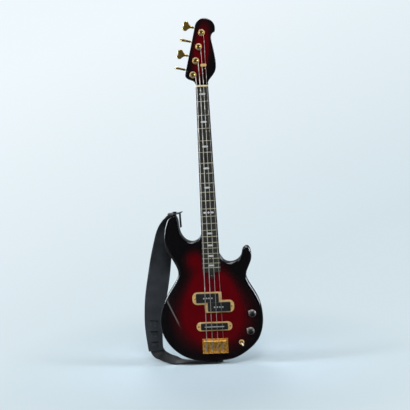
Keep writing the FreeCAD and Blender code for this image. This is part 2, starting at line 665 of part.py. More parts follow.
def body_pieces():
    """The blank, hollowed, then split into the neck's core and the blocks glued to it.

    The treble side is two blocks: the horn is joined to the wing across the waist.
    """
    tools = pickup_wells() + front_holes()
    tools.append(chain(CONTROLS, P.control_radius, CAVITY_Y, BACK_Y + 1))
    tools.append(
        chain(CONTROLS, P.control_radius + P.cover_ledge + P.cover_fit, BACK_Y - P.cover_thick, BACK_Y + 1)
    )
    tools += [duct(*wire_runs()[0]), duct(*wire_runs()[1])]
    hollowed = body_blank().cut(tools)
    half = P.core_width / 2
    # Well beyond the body on every side
    far = P.scale_length
    blank = feature("body_blank", hollowed)
    # Each block's span: from and to in x, then in z
    spans = {
        "body_wing_bass": (-far, -half, -far, far),
        "core": (-half, half, -far, far),
        "body_wing_treble": (half, far, -far, P.horn_joint),
        "body_horn_treble": (half, far, P.horn_joint, far),
    }
    pieces = {}
    for name, (left, right, low, high) in spans.items():
        slab = feature(f"{name}_span", Part.makeBox(right - left, far, high - low, V(left, -far / 2, low)))
        pieces[name] = boolean("Part::Common", name, blank, slab)
    neck = feature("neck_shaft", neck_shaft())
    head = feature("head_plate", head_plate())
    beam = fuse("neck_solid", pieces["core"], neck, head)
    hollows = feature("neck_hollows", rod_way().fuse(tuner_holes() + pickup_wells()))
    node("neck_beam", boolean("Part::Cut", "neck_hollowed", beam, hollows))
    node("body_wing_bass", pieces["body_wing_bass"])
    node("body_wing_treble", pieces["body_wing_treble"])
    node("body_horn_treble", pieces["body_horn_treble"])


def marker_outlines():
    """The inlays' outlines: long hexagons, and at the octave a diamond between two pointed bars."""
    def hexagon(x, z, length, width):
        tip = length / 2
        shoulder = tip - width / 2
        side = width / 2
        return [(x - tip, z), (x - shoulder, z + side), (x + shoulder, z + side),
                (x + tip, z), (x + shoulder, z - side), (x - shoulder, z - side)]

    def between(number):
        return (fret_z(number) + fret_z(number - 1)) / 2

    outlines = [hexagon(0, between(n), P.inlay_length, P.inlay_width) for n in MARKED_FRETS]
    z = between(OCTAVE_FRET)
    half = P.octave_diamond / 2
    outlines.append([(-half, z), (0, z + half), (half, z), (0, z - half)])
    for side in (-1, 1):
        x = side * (half + P.octave_gap + P.octave_bar / 2)
        outlines.append(hexagon(x, z, P.octave_bar, P.inlay_width))
    return outlines


def fingerboard_pieces():
    """The curved board with its pockets, the inlays in them, the frets and the nut."""
    half_nut = board_half(NUT_Z)
    half_end = board_half(BOARD_END)
    plan = [(-half_end, BOARD_END), (half_end, BOARD_END), (half_nut, NUT_Z), (-half_nut, NUT_Z)]
    axis_foot = V(0, CROWN_Y, BOARD_END - 10)
    length = NUT_Z - BOARD_END + 20
    round_top = Part.makeCylinder(P.board_radius, length, axis_foot, Z_AXIS)
    floor = Part.makeCylinder(P.board_radius - P.inlay_depth, length, axis_foot, Z_AXIS)
    board = prism(plan, BOARD_Y - 2, NECK_Y).common(round_top)
    prisms = [prism(outline, BOARD_Y - 2, NECK_Y).cut(floor) for outline in marker_outlines()]
    node("fingerboard", feature("fingerboard", board.cut(prisms)))
    inlays = Part.makeCompound([p.common(round_top) for p in prisms])
    node("position_markers", feature("position_markers", inlays))
    node("frets", feature("frets", Part.makeCompound([fret(n + 1) for n in range(int(P.fret_count))])))


def fret(number):
    """One fret: a low crown across the board, turned about the board's own axis."""
    z = fret_z(number)
    span = math.asin((board_half(z) - P.fret_inset) / P.board_radius)
    foot = V(-P.board_radius * math.sin(span), CROWN_Y - P.board_radius * math.cos(span), z)
    out = V(-math.sin(span), -math.cos(span), 0)
    low = foot - Z_AXIS * P.fret_width / 2
    high = foot + Z_AXIS * P.fret_width / 2
    top = Part.Arc(low, foot + out * P.fret_crown, high).toShape()
    section = Part.Face(Part.Wire([top, line(high, low)]))
    return section.revolve(V(0, CROWN_Y, z), Z_AXIS, math.degrees(2 * span))


def retainer_at():
    """Where the string retainer stands: between the two treble strings."""
    z = NUT_Z + P.retainer_rise
    return ((nut_x(2) + nut_x(3)) / 2 - P.retainer_shift, z)


def wrap_frame(number):
    """The lowest turn's centre on the post, the string's heading in plan, and the turn's radius."""
    radius = GAUGES[number] / 2
    turn = P.post_radius + P.string_fit + radius
    post = post_at(number)
    level = HEAD_Y - P.ferrule_flange - P.wrap_space - radius
    centre = V(post.x, level, post.z)
    start = V(nut_x(number), level, NUT_Z)
    span = centre - start
    swing = math.asin(turn / span.Length)
    heading = FreeCAD.Rotation(Y_AXIS, math.degrees(swing)).multVec(span).normalize()
    return centre, heading, turn


def wrap(number):
    """The string's turns on its post, climbing to the front, with where and how they begin."""
    radius = GAUGES[number] / 2
    centre, heading, turn = wrap_frame(number)
    up = V(0, -1, 0)
    across = heading.cross(up)
    pitch = GAUGES[number] + P.wrap_space
    return winding(
        f"string_wrap_{STRING_NAMES[number]}", centre, across, up, turn, pitch, WRAP_TURNS[number], radius
    )


def string_route(number, lead_start):
    """Corner points of a string, from its ball behind the bridge to its first turn, and its bends' radii."""
    radius = GAUGES[number] / 2
    xs = saddle_x(number)
    xn = nut_x(number)
    saddle = V(xs, under_string(xs, P.action_saddle) - radius, P.bridge_line)
    nut = V(xn, under_string(xn, P.action_nut) - radius, NUT_Z)
    anchor = V(xs, PLATE_Y - P.anchor_height, P.bridge_base - P.ball_radius)
    points = [anchor, saddle, nut]
    bends = [P.saddle_bend, P.nut_bend]
    if number > 1:
        z = NUT_Z + P.retainer_rise
        share = P.retainer_rise / (lead_start.z - NUT_Z)
        points.append(V(xn + (lead_start.x - xn) * share, HEAD_Y - P.retainer_height, z))
        bends.append(P.nut_bend)
    points.append(lead_start)
    return points, bends


def string_pieces():
    """Strings with their ball ends, their turns on the posts, and the nut that they lie in."""
    half = P.nut_width / 2
    top = under_string(nut_x(1), P.action_nut) - GAUGES[1] / 2
    nut = Part.makeBox(2 * half, NECK_Y - top, P.nut_thick, V(-half, top, NUT_Z))
    for number, name in enumerate(STRING_NAMES):
        radius = GAUGES[number] / 2
        coil, lead_start, heading = wrap(number)
        node(f"string_wrap_{name}", feature(f"string_wrap_{name}", coil))
        points, bends = string_route(number, lead_start - heading * P.lead_gap)
        ball_half = V(P.ball_length / 2, 0, 0)
        ball = rod(P.ball_radius, points[0] - ball_half, points[0] + ball_half)
        tube = pipe(bent_path(points, bends), radius)
        node(f"string_{name}", feature(f"string_{name}", tube.fuse(ball)))
        nut = nut.cut(pipe(bent_path(points, bends), radius + P.string_fit))
    node("nut", feature("nut", nut))


def gear():
    """A worm wheel with straight-sided teeth, bored for the post's stub."""
    count = int(P.gear_teeth)
    points = []
    for tooth in range(count):
        for share, radius in GEAR_TOOTH:
            angle = 2 * math.pi * (tooth + share) / count
            points.append(V(radius * math.cos(angle), radius * math.sin(angle), GEAR_BASE))
    blank = Part.Face(Part.makePolygon(points + points[:1])).extrude(Z_AXIS * P.gear_thick)
    return blank.cut(rod(P.stub_radius + P.screw_fit, V(), Z_AXIS * 2 * SHAFT_LEVEL))


def tuner_post():
    """A slotted post with its stub, worm wheel and the screw that holds the wheel."""
    top = -(P.head_thick + P.post_stand)
    wheel_top = GEAR_BASE + P.gear_thick
    post = rod(P.post_radius, V(0, 0, top), V(0, 0, GEAR_BASE))
    post = post.makeChamfer(P.post_edge, [e for e in post.Edges if abs(e.BoundBox.Center.z - top) < 1e-6
                                  and e.BoundBox.ZLength < 1e-6])
    post = post.fuse(rod(P.stub_radius, V(0, 0, GEAR_BASE), V(0, 0, wheel_top)))
    slot_at = V(-2 * P.post_radius, -P.slot_width / 2, top)
    slot = Part.makeBox(4 * P.post_radius, P.slot_width, P.slot_depth, slot_at)
    slot.rotate(V(), Z_AXIS, 90 - P.edge_lean)
    screw_hole = rod(P.screw_radius + P.screw_fit, V(0, 0, wheel_top - P.gear_thick), V(0, 0, wheel_top))
    bolt = rod(P.gear_screw_radius, V(0, 0, wheel_top), V(0, 0, wheel_top + P.gear_screw_thick))
    bolt = bolt.fuse(rod(P.screw_radius, V(0, 0, wheel_top - P.gear_thick + P.screw_fit), V(0, 0, wheel_top)))
    return Part.makeCompound([post.cut([slot, screw_hole]), gear(), bolt])


def clover():
    """The key's flat leaf along +x: a stem that flares into two lobes with a notch between them."""
    def lobe(angle, side):
        turn = math.radians(angle)
        x = P.lobe_reach + P.lobe_radius * math.cos(turn)
        return V(x, side * (P.lobe_spread + P.lobe_radius * math.sin(turn)), 0)

    def arc(*points):
        return Part.Arc(*points).toShape()

    root, crest, inner = 150, 60, -35
    waist = V(P.waist_reach, 2 * P.key_stem, 0)
    flip = V(waist.x, -waist.y, 0)
    notch = V(lobe(inner, 1).x - P.notch_depth, 0, 0)
    edges = [
        arc(V(0, P.key_stem, 0), waist, lobe(root, 1)),
        arc(lobe(root, 1), lobe(crest, 1), lobe(inner, 1)),
        arc(lobe(inner, 1), notch, lobe(inner, -1)),
        arc(lobe(inner, -1), lobe(crest, -1), lobe(root, -1)),
        arc(lobe(root, -1), flip, V(0, -P.key_stem, 0)),
        line(V(0, -P.key_stem, 0), V(0, P.key_stem, 0)),
    ]
    leaf = Part.Face(Part.Wire(edges)).extrude(Z_AXIS * P.key_thick)
    leaf.translate(V(P.shaft_reach, 0, -P.key_thick / 2))
    rims = [e for e in leaf.Edges if e.BoundBox.ZLength < 1e-6 and e.BoundBox.XLength > P.notch_depth]
    return leaf.makeFillet(P.key_round, rims)


def tuner_key(turn):
    """A key on its shaft, with the worm between the plate's lugs; turned about the shaft."""
    inner = -(P.worm_half + P.lug_width + P.shaft_end)
    shaft = rod(P.shaft_radius, V(inner, 0, 0), V(P.shaft_reach + P.collar_sink, 0, 0))
    worm = rod(P.worm_radius, V(-P.worm_half + P.run_fit, 0, 0), V(P.worm_half - P.run_fit, 0, 0))
    start = V(P.shaft_reach - P.collar_length, 0, 0)
    collar = Part.makeCone(P.key_stem, P.collar_radius, P.collar_length + P.collar_sink, start, X_AXIS)
    key = shaft.fuse([worm, collar, clover()])
    key.rotate(V(), X_AXIS, turn)
    key.translate(V(0, WORM_OFFSET, SHAFT_LEVEL))
    return key


def tuner_plate():
    """The back plate with two lugs that carry the worm's shaft, bored for the post and its screws."""
    corner = V(-P.plate_left, -P.plate_low, 0)
    plate = Part.makeBox(P.plate_left + P.plate_right, P.plate_low + P.plate_high, P.plate_thick, corner)
    plate = plate.makeFillet(P.plate_round, [e for e in plate.Edges if abs(e.Length - P.plate_thick) < 1e-6])
    for start in (-P.worm_half - P.lug_width, P.worm_half):
        plate = plate.fuse(Part.makeBox(
            P.lug_width, 2 * P.lug_half, P.lug_height, V(start, WORM_OFFSET - P.lug_half, P.plate_thick)
        ))
    ends = [V(side * P.shaft_reach, WORM_OFFSET, SHAFT_LEVEL) for side in (-1, 1)]
    through = Z_AXIS * 2 * P.plate_thick
    holes = [rod(P.shaft_radius + P.run_fit, *ends), rod(P.post_radius + P.run_fit, -through, through)]
    for x, y in PLATE_SCREWS:
        holes.append(rod(P.screw_radius + P.screw_fit, V(x, y, 0) - through, V(x, y, 0) + through))
    return plate.cut(holes)


def tuner_pieces():
    """Four tuners: back plates, front ferrules, and each one's post and key."""
    def placed(shape, number):
        copy = shape.copy()
        copy.Placement = tuner_frame(number)
        return copy

    plates = Part.makeCompound([placed(tuner_plate(), n) for n in range(4)])
    node("tuner_plates", feature("tuner_plates", plates))
    ferrules = []
    for number, name in enumerate(STRING_NAMES):
        x, _, z = post_at(number)
        at = (str(x), str(HEAD_Y), str(z))
        deep = (str(x), f"{HEAD_Y} + barrel_depth", str(z))
        flange = cylinder(f"flange_{name}", "ferrule_radius", "ferrule_flange", at)
        barrel = cylinder(f"barrel_{name}", "barrel_radius", "barrel_depth", deep)
        hole = cylinder(
            f"ferrule_hole_{name}", "post_radius + run_fit", "barrel_depth + ferrule_flange", deep
        )
        ferrules.append(cut(f"ferrule_{name}", fuse(f"ferrule_solid_{name}", flange, barrel), hole))
        node(f"tuner_post_{name}", feature(f"tuner_post_{name}", tuner_post(), tuner_frame(number)))
        key = tuner_key(KEY_TURNS[number])
        node(f"tuner_key_{name}", feature(f"tuner_key_{name}", key, tuner_frame(number)))
    node("tuner_ferrules", *ferrules)


def retainer():
    """The bar over the two treble strings, on a foot and a screw in the headstock."""
    x, z = retainer_at()
    under = HEAD_Y - P.retainer_height - GAUGES[2] / 2 - P.retainer_gap
    bar = round_rect(
        P.retainer_length, P.retainer_width, (P.retainer_round,) * 2, under - P.retainer_thick, under, (x, z)
    )
    foot = y_rod(P.retainer_post, x, z, under, HEAD_Y)
    pin = y_rod(P.screw_radius, x, z, HEAD_Y, HEAD_Y + P.screw_length - 1)
    node("string_retainer", feature("string_retainer", bar.fuse([foot, pin])))


def truss_rod_pieces():
    """The rod under the board, the nut on its lower end and the pointed cover over the nut."""
    centre = NECK_Y + P.rod_drop
    foot = BOARD_END - P.rod_nut_length
    top = f"{NUT_Z - P.rod_end_gap - P.rod_fit - foot}"
    node("truss_rod", cylinder("truss_rod", "rod_radius", top, ("0", str(centre), str(foot)), UP))
    low = f"{foot} - run_fit"
    socket = cylinder(
        "rod_nut_hole", "rod_radius + run_fit", "2 * rod_nut_length", ("0", str(centre), f"{low} - 1"), UP
    )
    outer = bound(
        "Part::Prism", "rod_nut_solid", ("0", str(centre), low), Circumradius="rod_nut_radius",
        Height="rod_nut_length - 2 * run_fit",
    )
    node("truss_rod_nut", cut("truss_rod_nut", outer, socket))
    half = P.rod_cover_width / 2
    end = BOARD_END - P.rod_fit
    outline = [(-half, end), (half, end), (half * 0.75, end - P.rod_cover_length * 0.55),
               (0, end - P.rod_cover_length), (-half * 0.75, end - P.rod_cover_length * 0.55)]
    cover = prism(outline, TOP_Y - P.rod_cover_thick, TOP_Y)
    x, z = ROD_COVER_SCREW
    cover = cover.cut(y_rod(P.screw_radius + P.screw_fit, x, z, TOP_Y - 5, TOP_Y + 5))
    node("truss_rod_cover", feature("truss_rod_cover", cover))


def bridge_pieces():
    """The bridge's plate, its four saddles on height screws, their length screws and springs."""
    base = box("bridge_base_plate", "bridge_width", "bridge_thick", "bridge_length",
               ("-bridge_width / 2", str(PLATE_Y), "bridge_base"))
    wall = box("bridge_back_wall", "bridge_width", "bridge_wall_height", "bridge_wall",
               ("-bridge_width / 2", f"{TOP_Y} - bridge_wall_height", "bridge_base"))
    rails = [
        box(f"bridge_rail_{name}", "rail_width", "rail_height", "bridge_length",
            (where, f"{TOP_Y} - rail_height", "bridge_base"))
        for name, where in (("bass", "-bridge_width / 2"), ("treble", "bridge_width / 2 - rail_width"))
    ]
    holes = []
    for number, name in enumerate(STRING_NAMES):
        x = saddle_x(number)
        at = (f"{x} - tone_screw_offset", f"{PLATE_Y} - tone_screw_height + bridge_thick", "bridge_base - 1")
        holes.append(cylinder(f"tone_hole_{name}", "tone_screw_radius + thread_fit", "bridge_wall + 2", at, UP))
        holes.append(cylinder(f"anchor_hole_{name}", f"gauge_{name} / 2 + anchor_fit", "bridge_wall + 2",
                              (str(x), f"{PLATE_Y} - anchor_height - anchor_fit", "bridge_base - 1"), UP))
    for number, (x, z) in enumerate(BRIDGE_SCREWS):
        holes.append(cylinder(f"bridge_screw_hole_{number}", "screw_radius + screw_fit", "bridge_thick + 2",
                              (str(x), str(TOP_Y + 1), str(z))))
    solid = fuse("bridge_solid", base, wall, *rails)
    node("bridge_plate", cut("bridge_plate", solid, fuse("bridge_holes", *holes)))
    for number, name in enumerate(STRING_NAMES):
        saddle(number, name)
        tone_screw(number, name)
    node("saddle_springs", feature("saddle_springs", Part.makeCompound([spring(n) for n in range(4)])))


def saddle(number, name):
    """A saddle: a block and a barrel that the string bends over, on two height screws."""
    x = saddle_x(number)
    top = under_string(x, P.action_saddle) + P.saddle_fit
    rear = P.bridge_line + P.saddle_front - P.saddle_length
    block = box(f"saddle_block_{name}", "saddle_width", "saddle_block", "saddle_length",
                (f"{x} - saddle_width / 2", f"{PLATE_Y} - saddle_foot - saddle_block", str(rear)))
    barrel = cylinder(f"saddle_barrel_{name}", "barrel_round", "saddle_width",
                      (f"{x} - saddle_width / 2", f"{top} + barrel_round", "bridge_line"), TREBLE)
    bore = cylinder(f"saddle_bore_{name}", "tone_screw_radius + thread_fit", "saddle_length * 3",
                    (f"{x} - tone_screw_offset", f"{TOP_Y} - tone_screw_height", f"{rear} - saddle_length"), UP)
    grubs = []
    grub_holes = []
    for side, hand in ((-1, "left"), (1, "right")):
        at = (f"{x} + {side} * grub_offset", f"{PLATE_Y} - string_fit", f"{rear} + saddle_length * 0.3")
        grubs.append(cylinder(f"grub_{name}_{hand}", "grub_radius",
                              "saddle_foot + saddle_block + grub_proud", at))
        grub_holes.append(cylinder(f"grub_hole_{name}_{hand}", "grub_radius + screw_fit", "bridge_length", at))
    solid = fuse(f"saddle_solid_{name}", block, barrel)
    node(f"saddle_{name}", cut(f"saddle_cut_{name}", solid, bore, *grub_holes), *grubs)


def tone_screw(number, name):
    """The screw through the bridge's wall that sets its saddle's place along the string."""
    x = saddle_x(number)
    at = (f"{x} - tone_screw_offset", f"{TOP_Y} - tone_screw_height", "bridge_base - run_fit")
    shank = cylinder(f"tone_shank_{name}", "tone_screw_radius",
                     "bridge_line - bridge_base + saddle_front - 1", at, UP)
    head = cylinder(f"tone_head_{name}", "tone_head_radius", "tone_head_thick", at, DOWN)
    node(f"intonation_screw_{name}", fuse(f"intonation_screw_{name}", shank, head))


def spring(number):
    """The coil spring on a length screw, between the bridge's wall and the saddle."""
    x = saddle_x(number) - P.tone_screw_offset
    start = P.bridge_base + P.bridge_wall + 2 * P.spring_wire
    end = P.bridge_line + P.saddle_front - P.saddle_length - 2 * P.spring_wire
    radius = P.tone_screw_radius + P.spring_space + P.spring_wire
    pitch = (end - start) / P.spring_turns
    centre = V(x, TOP_Y - P.tone_screw_height, start)
    return winding("saddle_springs", centre, X_AXIS, Z_AXIS, radius, pitch, P.spring_turns, P.spring_wire)[0]


def pickup_pieces():
    """The split and the bar pickup: trim rings, covers, coils and poles."""
    face = TOP_Y - P.ring_thick
    halves = [
        round_rect(P.split_ring_width, P.split_ring_height, radii, face, TOP_Y, centre)
        for centre, radii in (
            (SPLIT_BASS, (P.split_ring_round, P.split_inner_round)),
            (SPLIT_TREBLE, (P.split_inner_round, P.split_ring_round)),
        )
    ]
    grow = P.pickup_fit
    split_holes = [
        cover_block(c, P.split_cover_width, P.split_cover_height, grow, face - 1, TOP_Y + 1)
        for c in SPLIT_COVERS
    ]
    bar_ring = round_rect(
        P.bar_ring_width, P.bar_ring_height, (P.bar_ring_round,) * 2, face, TOP_Y, (0, P.bar_line)
    )
    bar_hole = cover_block((0, P.bar_line), P.bar_cover_width, P.bar_cover_height, grow, face - 1, TOP_Y + 1)
    pilots = [y_rod(P.screw_radius + P.screw_fit, x, z, face - 1, TOP_Y + 1) for x, z in RING_SCREWS]
    split_ring = halves[0].fuse(halves[1]).removeSplitter().cut(split_holes + pilots)
    rings = Part.makeCompound([split_ring, bar_ring.cut([bar_hole] + pilots)])
    node("pickup_rings", feature("pickup_rings", rings))
    covers = []
    coils = []
    poles = []
    for pair, centre in enumerate(SPLIT_COVERS):
        places = []
        for number in (2 * pair, 2 * pair + 1):
            middle = string_x(number, centre[1])
            places += [middle - P.pole_offset, middle + P.pole_offset]
        front = COVER_Y - P.pole_proud
        pins = [y_rod(P.pole_radius, x, centre[1], front, FLOOR_Y) for x in places]
        ways = [y_rod(P.pole_radius + P.pole_fit, x, centre[1], front, FLOOR_Y) for x in places]
        cover, coil = pickup_unit(centre, P.split_cover_width, P.split_cover_height, ways, sum(places) / 4)
        covers.append(cover)
        coils.append(coil)
        poles += pins
    blade, blade_way = (
        Part.makeBox(
            P.blade_length + 2 * grow, FLOOR_Y - COVER_Y + P.pole_proud, P.blade_width + 2 * grow,
            V(-P.blade_length / 2 - grow, COVER_Y - P.pole_proud, P.bar_line - P.blade_width / 2 - grow),
        )
        for grow in (0, P.pole_fit)
    )
    cover, coil = pickup_unit((0, P.bar_line), P.bar_cover_width, P.bar_cover_height, [blade_way], 0)
    covers.append(cover)
    coils.append(coil)
    poles.append(blade)
    node("pickup_covers", feature("pickup_covers", Part.makeCompound(covers)))
    node("pickup_coils", feature("pickup_coils", Part.makeCompound(coils)))
    node("pickup_poles", feature("pickup_poles", Part.makeCompound(poles)))


def pickup_unit(centre, width, height, ways, coil_x):
    """A cover open at the back, standing on the well's floor, and the coil block round the poles' ways."""
    outer = cover_block(centre, width, height, 0, COVER_Y, FLOOR_Y)
    rims = [e for e in outer.Edges if abs(e.BoundBox.Center.y - COVER_Y) < 1e-6 and e.BoundBox.YLength < 1e-6]
    inner = cover_block(centre, width, height, -P.cover_wall, COVER_Y + P.cover_wall, FLOOR_Y + 1)
    cover = outer.makeFillet(P.cover_wall * 0.6, rims).cut([inner] + ways)
    coil_width = 2 * (max(abs(w.BoundBox.XMin - coil_x) for w in ways) + P.coil_margin)
    coil_height = min(P.coil_height, height - 4 * P.cover_wall)
    coil = round_rect(
        coil_width, coil_height, (coil_height * 0.4,) * 2, FLOOR_Y - P.coil_depth, FLOOR_Y, (coil_x, centre[1])
    )
    return cover, coil.cut(ways)


def knob(name, x, z):
    """A skirted knob hollowed over the control's nut, with the control's shaft."""
    low = -(P.washer_thick + P.knob_gap)
    top = low - P.knob_height
    nut_room = -(P.washer_thick + P.pot_nut_thick + P.knob_gap + P.knob_room)
    profile = [
        (P.knob_bore, low), (P.knob_radius, low), (P.knob_radius, low - P.knob_skirt), (P.knob_top, top),
        (0, top), (0, nut_room), (P.knob_bore, nut_room),
    ]
    loop = Part.makePolygon([V(x + r, TOP_Y + y, z) for r, y in profile + profile[:1]])
    body = Part.Face(loop).revolve(V(x, TOP_Y, z), Y_AXIS, 360)
    crisp = [
        e for e in body.Edges
        if e.BoundBox.YLength < 1e-6 and e.BoundBox.XLength > 2 * P.knob_top - 1
        and abs(e.BoundBox.Center.y - TOP_Y - nut_room) > 0.1 and abs(e.BoundBox.Center.y - TOP_Y - low) > 0.1
    ]
    body = body.makeFillet(P.knob_edge, crisp)
    shaft_end = top + P.knob_cap
    body = body.cut(y_rod(P.pot_shaft, x, z, TOP_Y + shaft_end, TOP_Y + 1))
    shaft = y_rod(P.pot_shaft, x, z, TOP_Y + shaft_end, CAVITY_Y + 0.5)
    node(name, feature(name, Part.makeCompound([body, shaft])))


def pointer_washer(x, z):
    """The washer under a knob, drawn out to a pointer."""
    turn = math.radians(P.pointer_angle)
    tip = V(math.cos(turn), 0, math.sin(turn))
    side = V(-math.sin(turn), 0, math.cos(turn))
    centre = V(x, 0, z)
    root = centre + tip * (P.washer_radius * 0.8)
    end = centre + tip * P.pointer_reach
    corners = [root + side * P.pointer_width, end, root - side * P.pointer_width]
    disc = y_rod(P.washer_radius, x, z, TOP_Y - P.washer_thick, TOP_Y)
    finger = prism([(c.x, c.z) for c in corners], TOP_Y - P.washer_thick, TOP_Y)
    return disc.fuse(finger).cut(y_rod(P.bushing_radius + P.screw_fit, x, z, TOP_Y - 5, TOP_Y + 5))


def control_pieces():
    """Knobs, pointers and pots, the toggle switch, capacitor, leads, jack and the cavity's cover."""
    knob("volume_knob", P.volume_x, P.volume_z)
    knob("tone_knob", P.tone_x, P.tone_z)
    washers = Part.makeCompound([pointer_washer(x, z) for x, z in CONTROLS[1:]])
    node("knob_washers", feature("knob_washers", washers))
    pots = []
    for name, x, z in (("volume", "volume_x", "volume_z"), ("tone", "tone_x", "tone_z")):
        can = cylinder(f"{name}_can", "pot_radius", "pot_thick", (x, f"{CAVITY_Y} + pot_thick", z))
        bush = cylinder(f"{name}_bush", "bushing_radius", "control_wall + bushing_rise", (x, str(CAVITY_Y), z))
        way = cylinder(f"{name}_way", "pot_shaft + run_fit", "control_wall + bushing_rise + 2",
                       (x, f"{CAVITY_Y} + 1", z))
        nut_at = (x, f"{TOP_Y} - washer_thick", z)
        nut = bound("Part::Prism", f"{name}_nut", nut_at, FRONT, Circumradius="pot_nut_radius",
                    Height="pot_nut_thick")
        nut_way = cylinder(f"{name}_nut_way", "bushing_radius + screw_fit", "pot_nut_thick", nut_at)
        pots.append(cut(f"{name}_pot", fuse(f"{name}_pot_solid", can, bush), way))
        pots.append(cut(f"{name}_pot_nut", nut, nut_way))
    node("potentiometers", *pots)
    toggle_pieces()
    middle = ("tone_x - cap_length / 2", f"{CAVITY_Y} + pot_thick", "tone_z - cap_width / 2")
    node("tone_capacitor", box("tone_capacitor", "cap_length", "cap_thick", "cap_width", middle))
    node("wiring", feature("wiring", Part.makeCompound([rod(P.wire_radius, *run) for run in wire_runs()])))
    seat = ("jack_seat_x", "0", "jack_z")
    deep = ("jack_seat_x - jack_length", "0", "jack_z")
    flange = cylinder("jack_flange_disc", "jack_flange", "jack_flange_thick", seat, TREBLE)
    tube = cylinder("jack_tube", "jack_radius", "jack_length", deep, TREBLE)
    bore = cylinder("jack_way", "jack_bore", "jack_length + jack_flange_thick",
                    ("jack_seat_x - jack_length + jack_floor", "0", "jack_z"), TREBLE)
    node("output_jack", cut("output_jack", fuse("jack_solid", flange, tube), bore))
    plate = chain(CONTROLS, P.control_radius + P.cover_ledge, BACK_Y - P.cover_thick, BACK_Y)
    holes = [y_rod(P.screw_head + P.screw_fit, x, z, BACK_Y - 5, BACK_Y + 5) for x, z in cover_screws()]
    node("control_cover", feature("control_cover", plate.cut(holes)))


def toggle_pieces():
    """The switch under the front, its collar and the lever that leans out of it."""
    x = "toggle_x"
    z = "toggle_z"
    case = box("switch_case", "toggle_box", "toggle_box_depth", "toggle_box",
               ("toggle_x - toggle_box / 2", str(CAVITY_Y), "toggle_z - toggle_box / 2"))
    bush = cylinder("switch_bush", "toggle_bush", "control_wall + toggle_bush_rise", (x, str(CAVITY_Y), z))
    way = cylinder("switch_way", "toggle_bore", "toggle_floor + control_wall + toggle_collar_height",
                   (x, f"{CAVITY_Y} + toggle_floor", z))
    node("selector_switch", cut("selector_switch", fuse("switch_solid", case, bush), way))
    ring = bound("Part::Cone", "collar_cone", (x, str(TOP_Y), z), FRONT, Radius1="toggle_collar",
                 Radius2="toggle_collar - collar_slope", Height="toggle_collar_height")
    ring_way = cylinder("collar_way", "toggle_bush + screw_fit", "toggle_collar_height + 1", (x, str(TOP_Y), z))
    node("switch_collar", cut("switch_collar", ring, ring_way))
    pivot = V(P.toggle_x, TOP_Y, P.toggle_z)
    lean = math.radians(P.lever_lean)
    heading = math.radians(P.lever_heading)
    way_out = V(math.sin(lean) * math.cos(heading), -math.cos(lean), math.sin(lean) * math.sin(heading))
    end = pivot + way_out * P.lever_length
    lever = Part.makeSphere(P.lever_ball, pivot)
    lever = lever.fuse([
        Part.makeCone(P.lever_radius, P.lever_tip * 0.8, P.lever_length, pivot, way_out),
        Part.makeSphere(P.lever_tip, end),
    ])
    node("toggle_lever", feature("toggle_lever", lever))


def strap_buttons():
    """The two strap buttons, at the butt and on the bass horn, each with its screw."""
    buttons = []
    for name, base, turn in (
        ("butt", ("0", "0", "-button_gap"), DOWN),
        ("horn", ("horn_button_x", "0", "horn_button_z"), UP),
    ):
        way = -1 if turn is DOWN else 1
        lip_at = (base[0], base[1], f"{base[2]} + {way} * (button_height - button_lip)")
        foot = bound("Part::Cone", f"{name}_foot", base, turn, Radius1="button_neck + button_flare",
                     Radius2="button_neck", Height="button_lip")
        stem = cylinder(f"{name}_stem", "button_neck", "button_height", base, turn)
        lip = cylinder(f"{name}_lip", "button_radius", "button_lip", lip_at, turn)
        under = (base[0], base[1], f"{base[2]} - {way} * (button_screw_length - 1)")
        pin = cylinder(f"{name}_screw", "button_screw", "button_screw_length", under, turn)
        buttons.append(fuse(f"{name}_button", foot, stem, lip, pin))
    node("strap_buttons", *buttons)


def eased(route, steps):
    """The route's stations with smooth ones between them, on a curve through every station."""
    stations = [V(*station[:3]) for station in route]
    curve = Part.BSplineCurve()
    curve.interpolate(stations)
    knots = [curve.parameter(point) for point in stations]
    result = []
    for (low, high), before, after in zip(zip(knots, knots[1:]), route, route[1:]):
        for step in range(steps):
            share = step / steps
            ease = share * share * (3 - 2 * share)
            width, turn = (a + (b - a) * ease for a, b in zip(before[3:], after[3:]))
            spot = low + (high - low) * share
            result.append((curve.value(spot), V(*curve.tangent(spot)[0]), width, turn))
    result.append((stations[-1], V(*curve.tangent(knots[-1])[0]), *route[-1][3:]))
    return result


def ribbon(route, first_heading, last_heading):
    """A flat band of constant thickness, lofted through its route's stations."""
    sections = []
    stations = eased(route, 3)
    for number, (point, heading, width, degrees) in enumerate(stations):
        if number == 0:
            heading = first_heading
        if number == len(stations) - 1:
            heading = last_heading
        turn = math.radians(degrees)
        across = V(math.cos(turn), math.sin(turn), 0)
        across = (across - heading * across.dot(heading)).normalize() * (width / 2)
        thick = across.cross(heading).normalize() * (P.strap_thick / 2)
        front = [point + across + thick, point - across + thick]
        corners = front + [point - across - thick, point + across - thick]
        sections.append(Part.makePolygon(corners + corners[:1]))
    return Part.makeLoft(sections, True, False)


